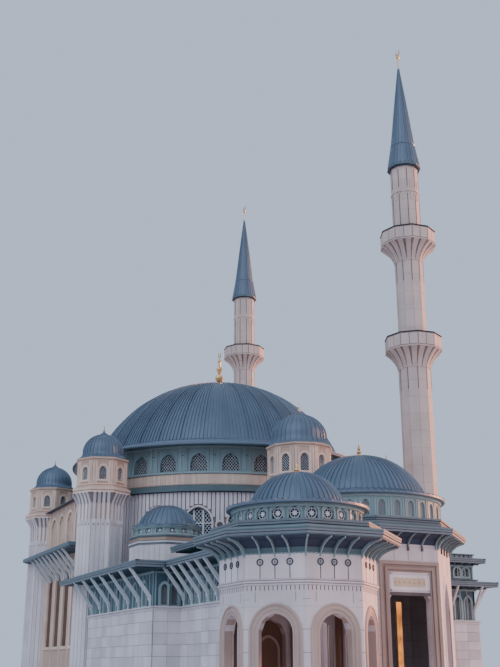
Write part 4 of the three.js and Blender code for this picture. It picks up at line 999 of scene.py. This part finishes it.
def pavilion():
    stone, surround, boards, dark, stars, lining = builds(6)
    x, y, apothem, top, cornice = PAVILION.x, PAVILION.y, PAVILION.apothem, PAVILION.top, PAVILION.cornice
    half, inner = half_side(apothem, 8), apothem - 0.6
    profile = [(-0.06, -0.5), (-0.06, 0.03), (0.03, 0.05), (0.06, 0.02), (0.14, 0.02), (0.17, 0.06),
               (0.27, 0.06), (0.3, 0.03), (0.38, 0.03), (0.42, 0.09), (0.5, 0.09), (0.52, -0.02)]
    for place in walls(8, apothem, x, y):
        surround.arch(place, PAVILION.arch, profile, sill=False, steps=10)
        stone.slabs(place, -half, half, cornice + 0.2, top - 0.03, 4, 1, 0.02, -0.02, 0.03)
        for u in spread(half * -0.93, half * 0.93, 14):
            dark.block(place, u - 0.02, u + 0.02, cornice - 0.42, cornice - 0.16, -0.02, 0.008)
        boards.slabs(place, -half, half, top, PAVILION.soffit, 14, 1, 0.035, -0.04, 0.03)
        for u in (-0.88, 0, 0.88):
            medallion(stars, dark, place, u, PAVILION.medallion, 0.2, 0.07)
            dark.block(place, u - 0.024, u + 0.024, cornice + 0.22, PAVILION.medallion - 0.18, 0.0, 0.036)
        for u in (-half * 0.66, half * 0.66):
            dark.block(place, u - 0.012, u + 0.012, cornice - 1.05, cornice - 0.5, -0.02, 0.004)
        dark.courses(place, 1.55, half, PAVILION.courses)
    edge = polygon(8, apothem, x, y)
    stone.bands(edge, ((cornice - 0.14, cornice - 0.04, 0.06), (cornice - 0.02, cornice + 0.1, 0.14),
                       (cornice + 0.12, cornice + 0.2, 0.09)), bevel=0.02)
    stone.bands(edge, ((top - 0.04, top + 0.04, 0.05),))
    curve = bezier((0, 4.2), (-0.4, 6.6), (-inner + 0.2, 7.2), 8)
    for rib in corners(8, inner, x, y, out=-0.3):
        lining.block(rib, -0.16, 0.16, 0.02, 5.2, -0.1, 0.2)
        lining.slab(rib, -0.09, 0.09, [*curve, *[(w, v + 0.3) for w, v in reversed(curve)]])
    rear = wall(x, y, apothem, 180)
    lining.plate(rear, arch_outline(PAVILION.arch, steps=10), -0.12, -0.06)
    inlay = [(0.0, -0.13), (0.0, -0.2), (0.16, -0.2), (0.16, -0.13)]
    surround.arch(rear, PAVILION.rear_arch, inlay, sill=False, steps=10)
    for dx in spread(-PAVILION.beams, PAVILION.beams, 19):
        span = math.sqrt(max(0.0, (inner - 0.05) ** 2 - dx ** 2))
        lining.beam((x + dx, y - span, PAVILION.ceiling), (x + dx, y + span, PAVILION.ceiling), 0.12, 0.16)
    piece("pavilion_stone_trim", stone, STONE)
    piece("pavilion_boards", boards, PATINA)
    piece("pavilion_joints", dark, DARK)
    piece("pavilion_medallions", stars, FASCIA)
    piece("pavilion_arch_surrounds", surround, ARCH_STONE)
    piece("pavilion_lining", lining, TIMBER)


def portal():
    stone, framing, dark, gilt, light = builds(5)
    half = half_side(PORTAL.apothem, 8)
    front = wall(PORTAL.x, PORTAL.y, PORTAL.apothem, 0)
    for reach, width, high, proud in ((2.45, 0.24, 8.62, 0.12), (2.17, 0.12, 8.36, 0.05),
                                      (2.02, 0.2, 8.22, 0.15), (1.79, 0.12, 8.0, 0.06)):
        for u0, u1 in ((-reach, width - reach), (reach - width, reach)):
            framing.block(front, u0, u1, 0, high, -0.02, proud)
        framing.block(front, width - reach, reach - width, high - width, high, -0.02, proud)
    dark.block(front, -PORTAL.door, PORTAL.door, *PORTAL.lintel, -0.3, 0.05)
    stone.block(front, -PORTAL.door, PORTAL.door, *PORTAL.panel, -0.05, 0.03)
    side, low, high = PORTAL.panel_half, PORTAL.panel[0] + 0.06, PORTAL.panel[1] - 0.06
    for u0, u1, v0, v1 in ((-side, 0.1 - side, low, high), (side - 0.1, side, low, high),
                           (-side, side, low, low + 0.1), (-side, side, high - 0.1, high)):
        stone.block(front, u0, u1, v0, v1, 0, 0.06)
    side, low, high = side - 0.3, low + 0.3, high - 0.32
    gilt.lattice(front, [(-side, low), (side, low), (side, high), (-side, high)], 0.2, 1.0, 0.03, 0.03, 0.05)
    for u in spread(-1.2, 1.2, 7):
        gilt.plate(front, star_points(u, (low + high) / 2, 0.1, 0.045), 0.04, 0.07)
    # Warm glowing strip inside the door at the left: painted light from the lit interior seen through the
    # glass.
    light.block(front, -0.85, -0.48, 0.4, 5.9, -0.5, -0.42)
    for i, place in enumerate(walls(8, PORTAL.apothem, PORTAL.x, PORTAL.y)):
        for u in (-1.16, 0.0, 1.16):
            if i == 0 or u:
                foot = 0.1 if i else PORTAL.joint_foot
                dark.block(place, u - 0.015, u + 0.015, foot, PORTAL.joint_top, -0.02, 0.006)
            dark.block(place, u - 0.07, u + 0.07, 9.35, 9.75, 0, 0.1)
        if i in (1, 7):
            profile = [(-0.06, -0.45), (-0.06, 0.03), (0.06, 0.08), (0.2, 0.08), (0.26, 0.03), (0.36, 0.03),
                       (0.36, -0.02)]
            stone.arch(place, PORTAL.niche, profile, sill=False, steps=10)
            outline = arch_outline(PORTAL.niche, steps=10)
            framing.plate(place, outline, -0.5, -0.44)
            for u in (-0.6, 0.0, 0.6):
                framing.bar(place, *clipped((u, 0), (u, 20), outline), 0.1, -0.45, -0.3)
            dark.courses(place, 1.66, half, PORTAL.courses)
    piece("portal_stone_trim", stone, STONE)
    piece("portal_frame", framing, TAUPE)
    piece("portal_joints", dark, DARK_STONE_AND_SHADE)
    piece("portal_panel_stars", gilt, GOLD)
    piece("portal_door_painted_glow", light, GLOW)


octagon_roof("portal", PORTAL)
octagon_roof("pavilion", PAVILION)
pavilion()
portal()


# Side dome's base: copper band, mouldings and upright slabs.
def side_base():
    copper, white, slabs = builds(3)
    top, roof, half = SIDE.base_top, SIDE.roof, half_side(SIDE.base, 8)
    edge = polygon(8, SIDE.base, SIDE.x, SIDE.y)
    white.bands(edge, ((top - 0.14, top - 0.02, 0.06), (top + 0.13, top + 0.2, 0.1),
                       (roof - 0.18, roof - 0.1, 0.06), (roof - 0.08, roof, 0.13)))
    copper.bands(edge, ((top + 0.2, roof - 0.2, 0.04),))
    for place in walls(8, SIDE.base, SIDE.x, SIDE.y):
        slabs.slabs(place, -half, half, WING.roof, top - 0.16, 5, 1, 0.03, -0.03, 0.04)
    piece("side_dome_copper_band", copper, COPPER)
    piece("side_dome_mouldings", white, FASCIA)
    piece("side_dome_slabs", slabs, STONE)


# Low wings: fascia, beams under the eave, struts on posts, windows and the stone base.
def dress_wing(name, storey, azimuth, distance, eave, span, edge, windows=(), struts=()):
    """Dresses one straight wall of a low wing.

    span is the wall's stretch of u and edge the eave's; windows and struts are lists of u."""
    u0, u1 = span
    trim, bars, panes, boards, white, rafters, stone = builds(7)
    place = wall(0, 0, distance, azimuth)
    soffit, base = storey.roof - 0.35, storey.base
    profile = [(-0.05, -0.3), (-0.05, 0.06), (0.04, 0.1), (0.13, 0.1), (0.16, -0.02)]
    for u in windows:
        spot = slid(place, u)
        trim.arch(spot, storey.window, profile)
        bars.lattice(spot, arch_outline(storey.window, -0.03), 0.2, 1.2, 0.016, -0.2, -0.17)
        panes.plate(spot, arch_outline(storey.window), -0.26, -0.22)
    for u in struts:
        white.block(slid(place, u), -0.06, 0.06, BASE_TOP + 0.15, soffit - 2.1, 0, 0.12)
        strut(white, slid(place, u), 0, eave - 0.1, soffit)
    for u in spread(u0 + 0.1, u1 - 0.1, round((u1 - u0) / 0.7)):
        rafters.block(place, u - 0.05, u + 0.05, soffit - 0.12, soffit - 0.01, 0.02, eave - 0.15)
        trim.block(place, u - 0.05, u + 0.05, BASE_TOP + 0.15, soffit - 0.3, -0.02, 0.03)
    trim.block(place, u0, u1, soffit - 0.34, soffit - 0.2, -0.02, 0.06)
    if base:
        stone.slabs(place, u0, u1, 0.05, BASE_TOP - 0.1, max(1, round((u1 - u0) / 1.3)), 7, 0.02, -0.05, base)
        for low, high, out in ((-0.12, 0.02, base + 0.07), (0.04, 0.15, base + 0.15)):
            stone.block(place, u0, u1, BASE_TOP + low, BASE_TOP + high, -0.05, out)
        piece(f"{name}_stone_base", stone, STONE)
    rim = wall(0, 0, distance + eave, azimuth)
    for low, high, out in FASCIA_STEPS:
        boards.block(rim, *edge, storey.roof + low, storey.roof + high, -0.25, out)
    for label, build, finish in (
            ("trim", trim, PATINA), ("lattice", bars, BARS), ("panes", panes, GLASS),
            ("fascia", boards, FASCIA), ("struts", white, BARS), ("rafters", rafters, LEDGE)):
        if build.faces:
            piece(f"{name}_{label}", build, finish)


side_base()
dress_wing("left_wing", WING, -90, WING.left, WING.eave, (10.6, 26.0), (7.0, 27.2), middles(25.2, 11.2, 7),
           spread(25.5, 11.4, 7))
dress_wing("left_wing_end", WING_END, 0, -WING.front, FRONT_EAVE, (-15.87, -13.83), (-17.65, -15.56),
           [-15.1, -14.35])
dress_wing("link_wing", WING, -90, LINK.left, WING.eave, (26.05, 36.0), (27.2, 35.4), middles(34.28, 26.4, 6),
           spread(33.88, 26.6, 6))
dress_wing("link_wing_inner", WING, 90, LINK.right, 0.0, (-34.2, -30.0), (-34.2, -30.0))
dress_wing("upper_storey", UPPER, -90, UPPER.left, UPPER.eave, (19.4, 29.8), (18.6, 30.4),
           middles(29.5, 21.8, 6))
dress_wing("upper_storey_end", UPPER, 0, -UPPER.front, 0.4, (-10.5, -6.5), (-12.0, -7.3))
dress_wing("right_wing_front", RIGHT, 0, -RIGHT.front, RIGHT.eave, (13.4, RIGHT.right), (13.3, 20.3),
           [16.8, 17.9], [15.9, 18.55])
dress_wing("right_wing_side", RIGHT, 90, RIGHT.right, RIGHT.eave, (RIGHT.front, RIGHT.back),
           (-17.8, RIGHT.back), struts=spread(-16.05, -10.0, 5))
dress_wing("entrance_wing_side", ENTRANCE, 90, ENTRANCE.right, ENTRANCE.eave, (-26.0, -17.8), (-27.2, -17.8))
dress_wing("entrance_wing_front", ENTRANCE, 0, -WING.front, FRONT_EAVE, (6.1, 7.4), (6.2, 7.7))
dress_wing("tier_front", TIER, 0, -TIER.front, TIER.eave, (13.7, TIER.right), (13.2, 19.6), [16.9, 17.85])
dress_wing("tier_side", TIER, 90, TIER.right, TIER.eave, (TIER.front, RIGHT.back), (-17.1, RIGHT.back))
dress_wing("rear_wing_side", WING, 90, REAR.right, WING.eave, (9.0, REAR.back), (8.6, 23.5),
           middles(11.2, 21.5, 5), spread(10.2, 21.6, 7))
dress_wing("rear_wing_inner", WING, -90, -REAR.left, 0.0, (-REAR.back, -16.5), (-REAR.back, -16.5))
dress_wing("rear_wing_back", WING, 180, REAR.back, FRONT_EAVE, (-REAR.right, -REAR.left),
           (-17.65, -REAR.left))


# Low parapets of small panels above the right wing's eaves.
def parapet(name, out, foot, high):
    rails, panels = builds(2)
    front, right = TIER.front - out, TIER.right + out
    path = [(TIER.left, front), (right, front), (right, RIGHT.back)]
    rails.bands(path, ((foot, foot + 0.1, 0.12), (high - 0.1, high, 0.12)), 0.1, closed=False)
    for (ax, ay), (bx, by) in zip(path, path[1:]):
        dx, dy = bx - ax, by - ay
        size = math.hypot(dx, dy)
        face = wall(0, 0, (ax * dy - ay * dx) / size, math.degrees(math.atan2(dy, dx)))
        first = (ax * dx + ay * dy) / size
        count = round(size / 0.5)
        panels.slabs(face, first, first + size, foot + 0.08, high - 0.08, count, 1, 0.1, 0.0, 0.06)
        rails.block(face, first, first + size, foot, high, -0.12, 0.0)
    piece(f"{name}_rails", rails, LEDGE)
    piece(f"{name}_panels", panels, FASCIA)


parapet("tier_parapet", 0.05, TIER.roof, 11.6)
parapet("right_wing_parapet", 0.2, RIGHT.roof, 9.3)


# Finishes of the solids that stay in view.
FINISHES = (
    (GLASS, ("drum_glass",)),
    (GOLD, ("main_finial",)),
    (PATINA_WALL, ("_drum",)),
    (WING_WALL, ("upper_storey_walls", "_wing_walls", "tier_walls")),
    (WARM_COURSES, ("turret_masonry", "_pier", "stone_band", "facade")),
    (MINARET_STONE, ("_shaft",)),
    (CUT_STONE, ("side_dome_base", "portal_walls", "pavilion_arcade")),
    # Stone behind the hall ribs and the balcony fins takes painted rib shade.
    (PAINTED_RIB_SHADE, ("hall_front", "hall_rear", "_balcony", "hall_floor")),
    (LEDGE, ("_ledge_roof", "portal_roof", "pavilion_roof", "wing_roof", "storey_roof", "canopy",
             "tier_roof")),
    (LEAD, ("dome_roof", "_spire", "_dome")),
)


def finish_for(name):
    """Finish of a solid by the first word that its name holds."""
    return next((finish for finish, words in FINISHES if any(word in name for word in words)), STONE)


for solid_name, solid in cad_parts.items():
    solid.data.materials.clear()
    solid.data.materials.append(finish_for(solid_name))


# Floor, sky and lamps.
def stage(half=300):
    mesh = bpy.data.meshes.new("floor")
    mesh.from_pydata([(-half, -half, 0), (half, -half, 0), (half, half, 0), (-half, half, 0)], [],
                     [(0, 1, 2, 3)])
    plain = {"cloud": 0.0, "streak": 0.0, "island": 0.0, "grain": 0.0}
    mesh.materials.append(material("studio_floor", (196, 200, 206), 0.9, **plain))
    floor = bpy.data.objects.new("floor", mesh)
    bpy.context.scene.collection.objects.link(floor)
    world = bpy.data.worlds.new("studio")
    bpy.context.scene.world = world
    world.use_nodes = True
    sky = world.node_tree.nodes["Background"]
    feed(world.node_tree, sky, {"Color": linear(198, 214, 240), "Strength": 1.0})
    for name, colour, strength, size, azimuth, elevation in (
            ("low_sun", (255, 156, 96), 5.5, 12.0, 97, 14), ("warm_side", (255, 190, 160), 1.3, 40.0, 60, 16),
            ("front_fill", (232, 236, 255), 1.0, 60.0, -50, 40)):
        data = bpy.data.lights.new(name, "SUN")
        data.color = linear(*colour)[:3]
        data.energy = strength
        data.angle = math.radians(size)
        lamp = bpy.data.objects.new(name, data)
        bpy.context.scene.collection.objects.link(lamp)
        lamp.rotation_euler = (math.radians(90 - elevation), 0, math.radians(azimuth))


stage()
